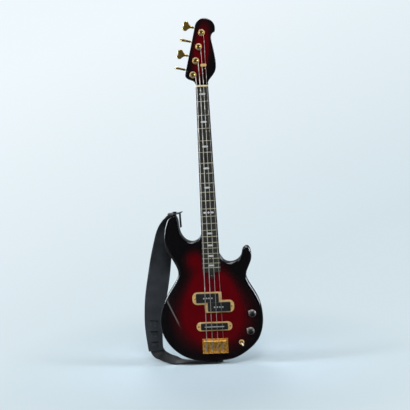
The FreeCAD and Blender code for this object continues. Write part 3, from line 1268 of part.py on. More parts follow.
def strap_pieces():
    """The shoulder strap: its end on the horn's button, the broad belt and the tail on the butt's button."""
    low = P.horn_button_z + P.tab_rise
    half = P.tab_width / 2
    root = BELT_ROUTE[0][0]
    taper = P.tab_tip_x - half
    plan = [(root, half), (taper, half), (P.tab_tip_x, half / 3), (P.tab_tip_x, -half / 3), (taper, -half),
            (root, -half)]
    loop = Part.makePolygon([V(x, y, low) for x, y in plan + plan[:1]])
    tab = Part.Face(loop).extrude(Z_AXIS * P.strap_thick)
    strip = Part.makeBox(
        P.strap_thick, P.strip_width, P.strip_length, V(P.strip_x, -P.strip_width / 2, low - P.strip_length)
    )
    button = V(P.horn_button_x, 0, low)
    hole = rod(P.button_hole, button - Z_AXIS * 9, button + Z_AXIS * 9)
    node("strap_tip", feature("strap_tip", tab.fuse(strip).cut(hole)))
    node("strap_belt", feature("strap_belt", ribbon(BELT_ROUTE, V(-1, 0, 0), V(0, 0, -1))))
    root = TAIL_ROUTE[-1][0]
    top = -P.tail_drop
    end = Part.makeBox(P.tail_tip_x - root, P.tail_width, P.strap_thick,
                       V(root, -P.tail_width / 2, top - P.strap_thick))
    end = end.makeFillet(P.tail_round, [
        e for e in end.Edges if e.BoundBox.ZLength > 0.9 * P.strap_thick and e.BoundBox.Center.x > 0
    ])
    end = end.cut(rod(P.button_hole, V(0, 0, top - 9), V(0, 0, top + 9)))
    tail = ribbon(TAIL_ROUTE, V(0, 0, -1), V(1, 0, 0))
    node("strap_tail", feature("strap_tail", tail.fuse(end)))


def trim_screws():
    """The wood screws that show: on the pickup rings, the bridge, the tuners' plates and the two covers."""
    screws = [screw(x, z, TOP_Y - P.ring_thick) for x, z in RING_SCREWS]
    screws += [screw(x, z, PLATE_Y) for x, z in BRIDGE_SCREWS]
    screws += [screw(p.x, p.z, HEAD_BACK_Y + P.plate_thick, 1) for p in plate_screw_points()]
    screws.append(screw(*ROD_COVER_SCREW, TOP_Y - P.rod_cover_thick))
    screws += [screw(x, z, BACK_Y - P.cover_thick, 1) for x, z in cover_screws()]
    node("trim_screws", feature("trim_screws", Part.makeCompound(screws)))


def write_parts():
    """Checks every object and writes each piece to its own file."""
    doc.recompute()
    for item in doc.Objects:
        if "Invalid" in item.State or "Error" in item.State:
            raise RuntimeError(f"{item.Label} failed: {item.State}")
    os.makedirs("parts", exist_ok=True)
    for item in nodes:
        if item.Shape.isNull() or not item.Shape.isValid() or not item.Shape.Solids:
            raise RuntimeError(f"{item.Label} has no valid solid")
    for item in nodes:
        item.Shape.exportStep(f"parts/{item.Label}.step")
        print(f"{item.Label}: {len(item.Shape.Solids)} solids, {item.Shape.Volume:.0f} mm3")


body_pieces()
fingerboard_pieces()
string_pieces()
tuner_pieces()
retainer()
truss_rod_pieces()
bridge_pieces()
pickup_pieces()
control_pieces()
strap_buttons()
strap_pieces()
trim_screws()
write_parts()
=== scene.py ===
import math
from collections import namedtuple

import bmesh
import bpy
import numpy as np
from mathutils import Matrix, Vector


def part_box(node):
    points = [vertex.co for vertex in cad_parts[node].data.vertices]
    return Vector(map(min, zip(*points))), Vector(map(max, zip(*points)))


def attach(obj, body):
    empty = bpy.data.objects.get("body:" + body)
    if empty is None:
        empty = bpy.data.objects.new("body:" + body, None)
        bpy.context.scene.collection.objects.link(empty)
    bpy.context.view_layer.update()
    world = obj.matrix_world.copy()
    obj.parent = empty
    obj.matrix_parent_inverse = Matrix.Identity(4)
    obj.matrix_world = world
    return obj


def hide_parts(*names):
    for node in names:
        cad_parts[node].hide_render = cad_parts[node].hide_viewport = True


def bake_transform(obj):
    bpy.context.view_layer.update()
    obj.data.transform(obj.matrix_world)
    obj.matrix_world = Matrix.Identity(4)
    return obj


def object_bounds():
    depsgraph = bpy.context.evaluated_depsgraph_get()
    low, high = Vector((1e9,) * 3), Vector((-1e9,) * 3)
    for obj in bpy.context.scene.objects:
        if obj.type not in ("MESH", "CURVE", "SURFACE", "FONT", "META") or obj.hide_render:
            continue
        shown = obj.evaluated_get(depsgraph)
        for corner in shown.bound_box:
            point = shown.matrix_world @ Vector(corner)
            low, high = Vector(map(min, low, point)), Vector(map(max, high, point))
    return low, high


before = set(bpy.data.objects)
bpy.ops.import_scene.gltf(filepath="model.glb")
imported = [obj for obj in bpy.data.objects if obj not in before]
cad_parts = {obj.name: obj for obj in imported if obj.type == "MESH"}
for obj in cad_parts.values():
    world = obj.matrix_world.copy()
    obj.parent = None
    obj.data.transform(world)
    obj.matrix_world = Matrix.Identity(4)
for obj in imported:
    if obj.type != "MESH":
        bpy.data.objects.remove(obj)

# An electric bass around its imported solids. Lengths are metres in the part's own frame:
# X runs to the treble side, Y to the back and Z up the neck.
bl_info = {
    "name": "Electric Bass Dressing",
    "version": (1, 0, 0),
    "blender": (4, 5, 0),
    "location": "View3D > Sidebar > Bass",
    "description": "Finishes, turned details, soft strap and studio for a packed electric bass",
    "category": "Object",
}

CAD_BOX = [list(corner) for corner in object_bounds()]
STRINGS = ("e", "a", "d", "g")
MM = 0.001

# The burst's red: centre, reach and lean of each soft glow, and its weight
BURST_GLOWS = (
    ((-0.003, 0, 0.152), (0.112, 9, 0.104), 0, 1.6),
    ((-0.057, 0, 0.357), (0.040, 9, 0.039), 0, 0.72),
    ((-0.004, 0, 0.233), (0.060, 9, 0.083), 0, 2.0),
    ((0.003, 0, 1.052), (0.027, 9, 0.088), math.radians(10), 1.3),
)

# The strap's line: x, y, z, width, and the turn of its width from X towards Y in degrees
BELT_ROUTE = np.array([
    (-0.127, 0.000, 0.5124, 0.040, 90), (-0.135, 0.004, 0.5105, 0.042, 84),
    (-0.1425, 0.012, 0.502, 0.044, 66), (-0.150, 0.020, 0.484, 0.047, 45),
    (-0.160, 0.0275, 0.452, 0.053, 24), (-0.168, 0.028, 0.402, 0.066, 17),
    (-0.186, 0.030, 0.300, 0.076, 4), (-0.205, 0.031, 0.200, 0.074, 0),
    (-0.215, 0.031, 0.110, 0.062, 0), (-0.214, 0.030, 0.060, 0.055, 2),
    (-0.212, 0.029, 0.030, 0.052, 4),
])
TAIL_ROUTE = np.array([
    (-0.215, 0.0345, 0.080, 0.046, 0), (-0.214, 0.0345, 0.050, 0.046, 4),
    (-0.204, 0.031, 0.024, 0.046, 12), (-0.178, 0.022, 0.008, 0.044, 20),
    (-0.140, 0.012, -0.003, 0.040, 12), (-0.090, 0.004, -0.007, 0.038, 80),
    (-0.018, 0.000, -0.0059, 0.038, 90),
])
STRIP_ROUTE = np.array([
    (-0.0990, 0, 0.5166, 0.016, 78), (-0.0987, 0, 0.492, 0.016, 76), (-0.0980, 0, 0.467, 0.014, 72),
])

# Steps along the strap's pieces, of which the slots need the shortest, and those that measure them laid flat
BELT_STEPS = 220
SLOT_STEPS = 480
TAIL_STEPS = 140
STRIP_STEPS = 30
STITCH_STEPS = 400
FLAT_STEPS = 200

# How far the strap and its tail arch across their width, and the radius of the thread in the hems
BELT_BOW = 0.8 * MM
TAIL_BOW = 0.6 * MM
THREAD_RADIUS = 0.4 * MM

# The three slots in the belt, by shares of its length: where each starts, how long it is, and how far past
# its start the tongue shows. A slot is a near-black sheet of painted shade, for the shade in its opening.
# Both lie raised on the belt, and each keeps a share of the belt's width.
SLOT_STARTS = (0.785, 0.861, 0.937)
SLOT_RUN = 0.006
TONGUE_END = 0.044
SLOT_LIFT = 1.8 * MM
SLOT_THICK = 1.4 * MM
SLOT_NARROW = 0.46
TONGUE_THICK = 1.2 * MM
TONGUE_NARROW = 0.4

# Where the strap's tabs turn on their buttons, and each tab's edges: their distance from the hole, and the
# way that they face in degrees. A higher power gives sharper corners between them.
HORN_BUTTON = Vector((-0.117, 0, 0.5144))
HORN_TAB = ((0.0235, 180), (0.022, 90), (0.022, -90), (0.027, 34), (0.027, -34), (0.030, 0))
BUTT_BUTTON = Vector((0, 0, -0.0059))
BUTT_TAB = ((0.0245, 180), (0.019, 90), (0.019, -90), (0.0235, 45), (0.0235, -45), (0.024, 0))
TAB_HOLE = 4.5 * MM
TAB_CORNER = 10
HORN_TAB_LIFT = 7 * MM

# What each tab adds to its strip when the leather is laid flat
HORN_TAB_LENGTH = 0.052
BUTT_TAB_LENGTH = 0.048

# The knobs' seat on the body's face. Radius and rise from it, in millimetres, of a knob's skirt and of its
# grip, whose third value is the share of the flutes' depth.
KNOB_SEAT = -0.0225
KNOB_STEPS = 96
KNOB_FLUTES = 24
KNOB_SKIRT = np.array([
    (8.6, 0), (12.0, 0), (12.3, 0.2), (12.4, 0.6), (12.4, 1.2), (12.2, 1.6), (11.7, 2.0), (10.9, 2.5),
    (10.2, 3.0), (9.7, 3.4), (9.2, 3.5), (0.4, 3.5),
])
KNOB_GRIP = np.array([
    (0.4, 3.0, 0), (9.5, 3.0, 0), (9.8, 3.4, 0), (9.85, 4.0, 0.2), (9.75, 5.0, 0.8), (9.6, 6.5, 1),
    (9.4, 8.5, 1), (9.2, 10.5, 1), (9.0, 12.2, 0.9), (8.75, 13.0, 0.5), (8.3, 13.6, 0.1),
    (7.6, 14.05, 0), (6.4, 14.45, 0), (4.6, 14.8, 0), (2.2, 14.97, 0), (0.4, 15.0, 0),
])

# The toggle's pivot, its lean from straight out and its heading across the face. Radius and rise from the
# pivot, in millimetres, of its stem and its tip.
TOGGLE_PIVOT = Vector((0.090, -0.021, 0.064))
TOGGLE_LEAN = math.radians(25)
TOGGLE_HEADING = math.radians(-55)
TOGGLE_STEM = np.array([
    (0.3, -2.9), (1.8, -2.4), (2.7, -1.2), (3.0, 0), (2.7, 1.2), (1.9, 2.3), (1.5, 3.2),
    (1.6, 7.0), (1.65, 9.0), (0.4, 9.2),
])
TOGGLE_TIP = np.array([
    (1.0, 7.6), (2.0, 7.7), (2.25, 8.1), (2.5, 11.0), (2.9, 14.0), (3.25, 16.5), (3.4, 18.0),
    (3.2, 19.2), (2.6, 20.0), (1.6, 20.4), (0.3, 20.5),
])

# A saddle spring's radius, its wire's radius and its turns
SPRING_RADIUS = 2.0 * MM
SPRING_WIRE = 0.3 * MM
SPRING_TURNS = 8

# A trim screw's head: its dome's radius and rise, its side's depth, the reach and half width of its cross,
# the run over which the cross's ends and walls slope, and the rings outside the cross
HEAD_ROUND = 2.45 * MM
HEAD_RISE = 0.9 * MM
HEAD_SIDE = 1.2 * MM
CROSS_REACH = 1.6 * MM
CROSS_HALF = 0.42 * MM
CROSS_END = 0.3 * MM
CROSS_WALL = 0.16 * MM
HEAD_RIM = np.array([1.8, 2.0, 2.2, 2.35, 2.4, 2.4]) * MM

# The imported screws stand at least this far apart, and only their heads are wider than this either way
SCREW_APART = 5.2 * MM
SHANK_REACH = 2 * MM

# A screw stops wherever it bites: the turns follow the golden angle, in radians, so that none agree
SCREW_TURN = 2.4

# From the studio's middle to its walls, and half its height. Its profile stops short of the poles, where the
# floor and the ceiling are flat, and its floor lies just under the object.
ROOM_REACH = 1.45
ROOM_LEAN = math.radians(87.4)
ROOM_STEPS = 72
ROOM_SIDES = 96
FLOOR_GAP = 0.4 * MM

# The floor is matt within the first radius and gone by the second, into the backdrop. A camera still sees
# this share of the matt paper there, which keeps the picture's grain even.
PAPER_FADE = (0.12, 0.85)
PAPER_TRACE = 0.02

# The backdrop darkens along a slant, a painted falloff of light. X counts for this much against Z, and the
# slant spans these values
BACKDROP_SLANT = 0.41
BACKDROP_SPAN = (-0.17, 0.2)

# Place, aim, width and height, spread in degrees, watts and tint of each soft box
LAMPS = (
    ("front_lamp", (0.2, -2.2, 3.1), (0, 0, 0.45), (1.8, 0.9), 180, 66, "#FFFFFF"),
    ("key_lamp", (-2.3, -2.0, 2.4), (0, 0, 0.5), (1.4, 1.2), 180, 14, "#FFFFFF"),
    ("left_rim", (-1.6, -0.2, 0.85), (0, 0, 0.5), (0.3, 1.3), 60, 6, "#E6F1FA"),
    ("right_rim", (1.6, -0.2, 0.85), (0, 0, 0.5), (0.3, 1.3), 60, 6, "#E6F1FA"),
    ("back_lamp", (-0.6, 2.3, 2.6), (0, 0, 0.45), (1.6, 0.9), 180, 44, "#FFFFFF"),
    ("crease_lamp", (-0.48, -1.45, -0.07), (-0.13, 0, 0.18), (0.34, 0.56), 180, 0.8, "#FFFFFF"),
)

# The camera's fit to the photograph's frets and outline, with its lens and sensor in millimetres
CAMERA_AIM = Vector((-0.01195, 0, 0.5395))
CAMERA_AZIMUTH = math.radians(3)
CAMERA_RISE = math.radians(6.5)
CAMERA_ROLL = math.radians(3)
CAMERA_DISTANCE = 2.747
CAMERA_LENS = 71.1
CAMERA_SENSOR = 36

Skin = namedtuple("Skin", "points quads tris place")


def linear(hex_colour):
    """An sRGB hex colour as linear RGBA."""
    parts = np.array([int(hex_colour[i:i + 2], 16) for i in (1, 3, 5)]) / 255
    parts = np.where(parts <= 0.04045, parts / 12.92, ((parts + 0.055) / 1.055) ** 2.4)
    return (*parts.tolist(), 1.0)


def lumps(size):
    """The scale at which a noise's lumps are about so many millimetres across."""
    return 1 / (size * MM)


def ridges(pitch):
    """The scale at which a wave repeats every so many millimetres, where the texture's own is pi / 10."""
    return math.pi / (10 * pitch * MM)


class BassFinish(bpy.types.PropertyGroup):
    """Colours and sizes that a user may want to change before the pieces are made."""
    burst_centre: bpy.props.FloatVectorProperty(
        name="Burst centre", description="Red in the middle of the sunburst", subtype="COLOR",
        default=linear("#5A020A")[:3], min=0, max=1,
    )
    burst_edge: bpy.props.FloatVectorProperty(
        name="Burst edge", description="Near-black round the sunburst", subtype="COLOR",
        default=linear("#0D0B0D")[:3], min=0, max=1,
    )
    gold: bpy.props.FloatVectorProperty(
        name="Gold", description="Colour of the plated hardware", subtype="COLOR",
        default=linear("#D4B45E")[:3], min=0, max=1,
    )
    strap: bpy.props.FloatVectorProperty(
        name="Strap", description="Colour of the strap's webbing", subtype="COLOR",
        default=linear("#262A2F")[:3], min=0, max=1,
    )
    paper: bpy.props.FloatVectorProperty(
        name="Paper", description="Colour of the paper underfoot", subtype="COLOR",
        default=linear("#B9C7CE")[:3], min=0, max=1,
    )
    strap_thick: bpy.props.FloatProperty(
        name="Strap thickness", description="Thickness of the strap's webbing",
        default=2.6 * MM, unit="LENGTH",
    )
    stitch_pitch: bpy.props.FloatProperty(
        name="Stitch pitch", description="From one stitch to the next along the strap's hems",
        default=4.4 * MM, unit="LENGTH",
    )
    stitch_inset: bpy.props.FloatProperty(
        name="Stitch inset", description="From the strap's edge to its row of stitches",
        default=4.5 * MM, unit="LENGTH",
    )
    flute_depth: bpy.props.FloatProperty(
        name="Flute depth", description="Depth of the flutes in a knob's grip",
        default=0.35 * MM, unit="LENGTH",
    )
    recess_depth: bpy.props.FloatProperty(
        name="Recess depth", description="Depth of the cross in a screw's head",
        default=0.7 * MM, unit="LENGTH",
    )


def add(tree, kind, sockets=None, stops=None, **settings):
    """Adds a node: settings are its own properties, and sockets maps a socket to a value or what feeds it.

    stops are a colour ramp's places and colours, from its first to its last.
    """
    node = tree.nodes.new(kind)
    for key, value in settings.items():
        setattr(node, key, value)
    for key, value in (sockets or {}).items():
        if isinstance(value, bpy.types.NodeSocket):
            tree.links.new(value, node.inputs[key])
        else:
            node.inputs[key].default_value = value
    if stops:
        elements = node.color_ramp.elements
        for element, (place, colour) in ((elements[0], stops[0]), (elements[1], stops[-1])):
            element.position = place
            element.color = colour
        for place, colour in stops[1:-1]:
            elements.new(place).color = colour
    return node


def new_finish(name):
    """A new material's tree and its Object coordinates."""
    material = bpy.data.materials.new(name)
    material.use_nodes = True
    tree = material.node_tree
    tree.nodes.clear()
    return material, tree, add(tree, "ShaderNodeTexCoord").outputs["Object"]


def shared(maker):
    """The material that a maker names after itself, made on its first use."""
    return bpy.data.materials.get(maker.__name__) or maker()


def sunburst_lacquer():
    """Maple dyed red, shaded black from its edges, under a thick clear coat that is buffed to a mirror.

    The red fades over about 40 mm, faint figure shows in it, and the coat keeps a slight orange peel.
    """
    chosen = bpy.context.scene.bass_finish
    material, tree, place = new_finish("sunburst_lacquer")
    glow = 0.0
    for centre, reach, lean, weight in BURST_GLOWS:
        near = add(tree, "ShaderNodeMapping", {
            "Vector": place, "Location": centre, "Rotation": (0, lean, 0), "Scale": reach,
        }, vector_type="TEXTURE").outputs[0]
        square = add(tree, "ShaderNodeVectorMath", {
            0: near, 1: near,
        }, operation="DOT_PRODUCT").outputs["Value"]
        fall = add(tree, "ShaderNodeMath", {0: math.exp(-1), 1: square}, operation="POWER").outputs[0]
        glow = add(tree, "ShaderNodeMath", {
            0: fall, 1: weight, 2: glow,
        }, operation="MULTIPLY_ADD").outputs[0]
    along = add(tree, "ShaderNodeMapping", {"Vector": place, "Scale": (1, 1, 0.06)}).outputs[0]
    figure = add(tree, "ShaderNodeTexNoise", {
        "Vector": along, "Scale": lumps(3.846), "Detail": 4,
    }).outputs[0]
    stained = add(tree, "ShaderNodeMath", {0: figure, 1: 0.10, 2: glow}, operation="MULTIPLY_ADD").outputs[0]
    red = (*chosen.burst_centre, 1)
    black = (*chosen.burst_edge, 1)
    dim, half = (
        tuple(share * a + (1 - share) * b for a, b in zip(red, black)) for share in (0.12, 0.42)
    )
    colour = add(tree, "ShaderNodeValToRGB", {"Fac": stained}, [
        (0.26, black), (0.42, dim), (0.62, half), (0.88, red),
    ]).outputs[0]
    peel = add(tree, "ShaderNodeTexNoise", {"Vector": place, "Scale": lumps(4.545), "Detail": 1}).outputs[0]
    swirl = add(tree, "ShaderNodeTexNoise", {
        "Vector": place, "Scale": lumps(28.57), "Detail": 3,
    }).outputs[0]
    polish = add(tree, "ShaderNodeMath", {0: swirl, 1: 0.06, 2: 0.02}, operation="MULTIPLY_ADD").outputs[0]
    bump = add(tree, "ShaderNodeBump", {"Height": peel, "Strength": 0.05, "Distance": 0.0002}).outputs[0]
    shader = add(tree, "ShaderNodeBsdfPrincipled", {
        "Base Color": colour, "Roughness": 0.6, "Specular IOR Level": 0.0,
        "Coat Weight": 1.0, "Coat IOR": 1.58, "Coat Roughness": polish, "Coat Normal": bump,
    }).outputs[0]
    add(tree, "ShaderNodeOutputMaterial", {"Surface": shader})
    return material


def rosewood():
    """Oiled rosewood, open-pored: long brown streaks and short dark pores, with a dull shine."""
    material, tree, place = new_finish("rosewood")
    along = add(tree, "ShaderNodeMapping", {"Vector": place, "Scale": (1, 1, 0.035)}).outputs[0]
    streak = add(tree, "ShaderNodeTexNoise", {
        "Vector": along, "Scale": lumps(2.381), "Detail": 5,
    }).outputs[0]
    short = add(tree, "ShaderNodeMapping", {"Vector": place, "Scale": (1, 1, 0.12)}).outputs[0]
    pore = add(tree, "ShaderNodeTexNoise", {
        "Vector": short, "Scale": lumps(0.5556), "Detail": 2,
    }).outputs[0]
    colour = add(tree, "ShaderNodeValToRGB", {"Fac": streak}, [
        (0.3, linear("#141512")), (0.5, linear("#22231D")), (0.72, linear("#32332A")),
    ]).outputs[0]
    hole = add(tree, "ShaderNodeValToRGB", {"Fac": pore}, [
        (0.34, linear("#000000")), (0.46, linear("#FFFFFF")),
    ]).outputs[0]
    bump = add(tree, "ShaderNodeBump", {"Height": hole, "Strength": 0.35, "Distance": 0.0002}).outputs[0]
    shader = add(tree, "ShaderNodeBsdfPrincipled", {
        "Base Color": colour, "Roughness": 0.5, "Specular IOR Level": 0.4, "Normal": bump,
    }).outputs[0]
    add(tree, "ShaderNodeOutputMaterial", {"Surface": shader})
    return material


def mother_of_pearl():
    """Ground shell: cloudy white with pink and green patches that shift in soft, glossy layers."""
    material, tree, place = new_finish("mother_of_pearl")
    cloud = add(tree, "ShaderNodeTexNoise", {
        "Vector": place, "Scale": lumps(6.667), "Detail": 3, "Distortion": 2.5,
    }).outputs[0]
    colour = add(tree, "ShaderNodeValToRGB", {"Fac": cloud}, [
        (0.3, linear("#A6B4AF")), (0.45, linear("#C4CBC7")),
        (0.58, linear("#D0C4C4")), (0.72, linear("#C0CBD0")),
    ]).outputs[0]
    shine = add(tree, "ShaderNodeMath", {0: cloud, 1: 0.3, 2: 0.12}, operation="MULTIPLY_ADD").outputs[0]
    shader = add(tree, "ShaderNodeBsdfPrincipled", {
        "Base Color": colour, "Roughness": shine, "Sheen Weight": 0.2, "Coat Weight": 0.6,
        "Coat Roughness": 0.08, "Thin Film Thickness": 380,
    }).outputs[0]
    add(tree, "ShaderNodeOutputMaterial", {"Surface": shader})
    return material


def metal(name, dull, bright, rough, scratch, haze):
    """A metal whose tone and polish wander, with fine lines from its last wheel along X.

    haze is the share of light that it scatters in its own colour, as etched or rubbed plating does. Real
    lines are well under 0.1 mm apart; they are drawn at 0.4 mm so that they still show in a close view.
    """
    material, tree, place = new_finish(name)
    tone = add(tree, "ShaderNodeTexNoise", {"Vector": place, "Scale": lumps(7.143), "Detail": 4}).outputs[0]
    colour = add(tree, "ShaderNodeValToRGB", {"Fac": tone}, [(0.3, dull), (0.7, bright)]).outputs[0]
    lines = add(tree, "ShaderNodeMapping", {"Vector": place, "Scale": (0.05, 1, 1)}).outputs[0]
    wheel = add(tree, "ShaderNodeTexNoise", {
        "Vector": lines, "Scale": lumps(0.3846), "Detail": 2,
    }).outputs[0]
    polish = add(tree, "ShaderNodeMath", {
        0: tone, 1: 0.16, 2: rough - 0.08,
    }, operation="MULTIPLY_ADD").outputs[0]
    bump = add(tree, "ShaderNodeBump", {"Height": wheel, "Strength": scratch, "Distance": 0.0001}).outputs[0]
    shader = add(tree, "ShaderNodeBsdfPrincipled", {
        "Base Color": colour, "Metallic": 1 - haze, "Roughness": polish, "Normal": bump,
    }).outputs[0]
    add(tree, "ShaderNodeOutputMaterial", {"Surface": shader})
    return material


def gold_plating():
    """Thin gold over buffed nickel, so it is a warm mirror that has hazed where hands rub it."""
    gold = np.array(bpy.context.scene.bass_finish.gold)
    return metal("gold_plating", (*(0.8 * gold), 1), (*np.minimum(1.12 * gold, 1), 1), 0.2, 0.08, 0.1)


def rubbed_gold():
    """Gold that a resting hand has rubbed towards its brass, so it is deeper and softer than the rest."""
    return metal("rubbed_gold", linear("#CE9439"), linear("#E6B052"), 0.28, 0.1, 0.45)


def satin_gold():
    """Gold over an etched base: paler than the buffed plating, and a satin that takes light evenly."""
    return metal("satin_gold", linear("#E0B268"), linear("#F4D392"), 0.45, 0.12, 0.6)


def nickel_silver():
    """Drawn nickel silver that strings and fingers polish: a greyish yellow, bright along its crown."""
    return metal("nickel_silver", linear("#84826C"), linear("#A6A38A"), 0.3, 0.1, 0.2)


def highlight_nickel():
    """Nickel over a blasted base: a dim, even grey, whose ring round each knob is partly a painted
    highlight.
    """
    return metal("highlight_nickel", linear("#5F5D5A"), linear("#7F7C79"), 0.3, 0.1, 0.25)


def black_nickel():
    """Black nickel plate: a dark mirror."""
    return metal("black_nickel", linear("#1A1A1C"), linear("#2A2A2E"), 0.3, 0.08, 0.3)


def bright_steel():
    """Ground steel with its grinding marks left in."""
    return metal("bright_steel", linear("#BDBFC0"), linear("#E0E2E2"), 0.42, 0.15, 0.45)


def wound_string():
    """Round steel wire wound on a core: close ridges that break each highlight into dashes.

    The real pitch is about 0.4 mm; it is drawn at 0.8 mm so that it still shows in a close view.
    """
    material, tree, place = new_finish("wound_string")
    ridge = add(tree, "ShaderNodeTexWave", {
        "Vector": place, "Scale": ridges(0.8014),
    }, bands_direction="Z").outputs["Fac"]
    tarnish = add(tree, "ShaderNodeTexNoise", {
        "Vector": place, "Scale": lumps(16.67), "Detail": 3,
    }).outputs[0]
    colour = add(tree, "ShaderNodeValToRGB", {"Fac": tarnish}, [
        (0.3, linear("#96918A")), (0.7, linear("#BAB4AD")),
    ]).outputs[0]
    bump = add(tree, "ShaderNodeBump", {"Height": ridge, "Strength": 0.4, "Distance": 0.0002}).outputs[0]
    shader = add(tree, "ShaderNodeBsdfPrincipled", {
        "Base Color": colour, "Metallic": 0.8, "Roughness": 0.36, "Normal": bump,
    }).outputs[0]
    add(tree, "ShaderNodeOutputMaterial", {"Surface": shader})
    return material


def plastic(name, dark, light, rough, grain, coat):
    """A moulded plastic: slight clouding in its colour, and a fine grain from the mould.

    The grain is drawn at 0.5 mm, coarser than a real mould's, so that it still shows in a close view.
    """
    material, tree, place = new_finish(name)
    cloud = add(tree, "ShaderNodeTexNoise", {
        "Vector": place, "Scale": lumps(11.11), "Detail": 3,
    }).outputs[0]
    colour = add(tree, "ShaderNodeValToRGB", {"Fac": cloud}, [(0.3, dark), (0.7, light)]).outputs[0]
    mould = add(tree, "ShaderNodeTexNoise", {
        "Vector": place, "Scale": lumps(0.4545), "Detail": 2,
    }).outputs[0]
    polish = add(tree, "ShaderNodeMath", {
        0: cloud, 1: 0.12, 2: rough - 0.06,
    }, operation="MULTIPLY_ADD").outputs[0]
    bump = add(tree, "ShaderNodeBump", {"Height": mould, "Strength": grain, "Distance": 0.0001}).outputs[0]
    shader = add(tree, "ShaderNodeBsdfPrincipled", {
        "Base Color": colour, "Roughness": polish, "Normal": bump,
        "Coat Weight": coat, "Coat Roughness": 0.06,
    }).outputs[0]
    add(tree, "ShaderNodeOutputMaterial", {"Surface": shader})
    return material


def black_phenolic():
    """Pressed and buffed phenolic resin: deep black with a wet shine."""
    return plastic("black_phenolic", linear("#08080A"), linear("#111114"), 0.3, 0.03, 0.7)


def satin_abs():
    """Moulded black ABS with a light grain, so it is dark grey where light grazes it."""
    return plastic("satin_abs", linear("#101113"), linear("#1A1B1E"), 0.42, 0.2, 0.0)


def cream_resin():
    """Cast cream resin, yellowed a little and polished."""
    return plastic("cream_resin", linear("#EADFB8"), linear("#F6EFD6"), 0.28, 0.03, 0.5)


def bone():
    """Bleached bone, filed by hand: ivory with faint mottling and a waxy shine."""
    return plastic("bone", linear("#D9C48C"), linear("#EBDDB2"), 0.38, 0.15, 0.2)


def coil_tape():
    """Cloth tape over a winding, soaked in wax: brown and uneven."""
    return plastic("coil_tape", linear("#2E1A10"), linear("#4A2C1A"), 0.6, 0.5, 0.0)


def dipped_resin():
    """A capacitor's dip: orange-brown resin with a lumpy gloss."""
    return plastic("dipped_resin", linear("#7A3F12"), linear("#A85F20"), 0.25, 0.3, 0.6)


def nylon_web():
    """Woven nylon webbing: a twill of fine ribs that catch a soft sheen, worn a little paler in places.

    Real ribs are about 0.8 mm apart; they are drawn at 1.6 mm so that they still show in a close view.
    """
    strap = np.array(bpy.context.scene.bass_finish.strap)
    material, tree, place = new_finish("nylon_web")
    surface = add(tree, "ShaderNodeTexCoord").outputs["UV"]
    slanted = [
        add(tree, "ShaderNodeMapping", {"Vector": surface, "Rotation": (0, 0, turn)}).outputs[0]
        for turn in (math.radians(32), math.radians(-32))
    ]
    ribs = [
        add(tree, "ShaderNodeTexWave", {
            "Vector": way, "Scale": ridges(1.603), "Distortion": 0.4,
        }).outputs["Fac"]
        for way in slanted
    ]
    weave = add(tree, "ShaderNodeMath", {0: ribs[0], 1: ribs[1]}, operation="MULTIPLY").outputs[0]
    wear = add(tree, "ShaderNodeTexNoise", {"Vector": place, "Scale": lumps(41.67), "Detail": 4}).outputs[0]
    tone = add(tree, "ShaderNodeMath", {0: weave, 1: 0.35, 2: wear}, operation="MULTIPLY_ADD").outputs[0]
    colour = add(tree, "ShaderNodeValToRGB", {"Fac": tone}, [
        (0.3, (*(0.55 * strap), 1)), (0.6, (*strap, 1)), (0.95, (*(1.7 * strap), 1)),
    ]).outputs[0]
    bump = add(tree, "ShaderNodeBump", {"Height": weave, "Strength": 0.5, "Distance": 0.0004}).outputs[0]
    shader = add(tree, "ShaderNodeBsdfPrincipled", {
        "Base Color": colour, "Roughness": 0.72, "Specular IOR Level": 0.35, "Sheen Weight": 0.25,
        "Sheen Roughness": 0.4, "Normal": bump,
    }).outputs[0]
    add(tree, "ShaderNodeOutputMaterial", {"Surface": shader})
    return material


def leather(name, low, mid, high):
    """Chrome-tanned black leather with a pressed pebble grain, scuffed grey on its high spots."""
    material, tree, place = new_finish(name)
    pebble = add(tree, "ShaderNodeTexVoronoi", {"Vector": place, "Scale": lumps(1.613)}).outputs["Distance"]
    scuff = add(tree, "ShaderNodeTexNoise", {
        "Vector": place, "Scale": lumps(14.29), "Detail": 5,
    }).outputs[0]
    colour = add(tree, "ShaderNodeValToRGB", {"Fac": scuff}, [
        (0.35, linear(low)), (0.6, linear(mid)), (0.8, linear(high)),
    ]).outputs[0]
    shine = add(tree, "ShaderNodeMath", {0: scuff, 1: 0.3, 2: 0.36}, operation="MULTIPLY_ADD").outputs[0]
    bump = add(tree, "ShaderNodeBump", {"Height": pebble, "Strength": 0.3, "Distance": 0.0004}).outputs[0]
    shader = add(tree, "ShaderNodeBsdfPrincipled", {
        "Base Color": colour, "Roughness": shine, "Specular IOR Level": 0.2, "Normal": bump,
    }).outputs[0]
    add(tree, "ShaderNodeOutputMaterial", {"Surface": shader})
    return material


def strap_leather():
    """The strap's ends: black leather that has kept its dye."""
    return leather("strap_leather", "#141517", "#202225", "#3A3D40")


def tongue_leather():
    """The tongue that weaves through the strap's slots, in a greyer leather than the ends."""
    return leather("tongue_leather", "#24272A", "#32363A", "#50555A")


def slot_shade_leather():
    """Painted shade: thin black leather on each slot for the shade in it, so a slot reads as a dark line."""
    return leather("slot_shade_leather", "#08080A", "#0C0D0E", "#141517")


def waxed_thread():
    """Twisted polyester thread, waxed: grey with a fine diagonal twist."""
    material, tree, place = new_finish("waxed_thread")
    twist = add(tree, "ShaderNodeTexWave", {
        "Vector": place, "Scale": ridges(0.6283), "Distortion": 1.0,
    }, bands_direction="DIAGONAL").outputs["Fac"]
    colour = add(tree, "ShaderNodeValToRGB", {"Fac": twist}, [
        (0.2, linear("#2A2D31")), (0.8, linear("#565B61")),
    ]).outputs[0]
    bump = add(tree, "ShaderNodeBump", {"Height": twist, "Strength": 0.4, "Distance": 0.0002}).outputs[0]
    shader = add(tree, "ShaderNodeBsdfPrincipled", {
        "Base Color": colour, "Roughness": 0.55, "Normal": bump,
    }).outputs[0]
    add(tree, "ShaderNodeOutputMaterial", {"Surface": shader})
    return material


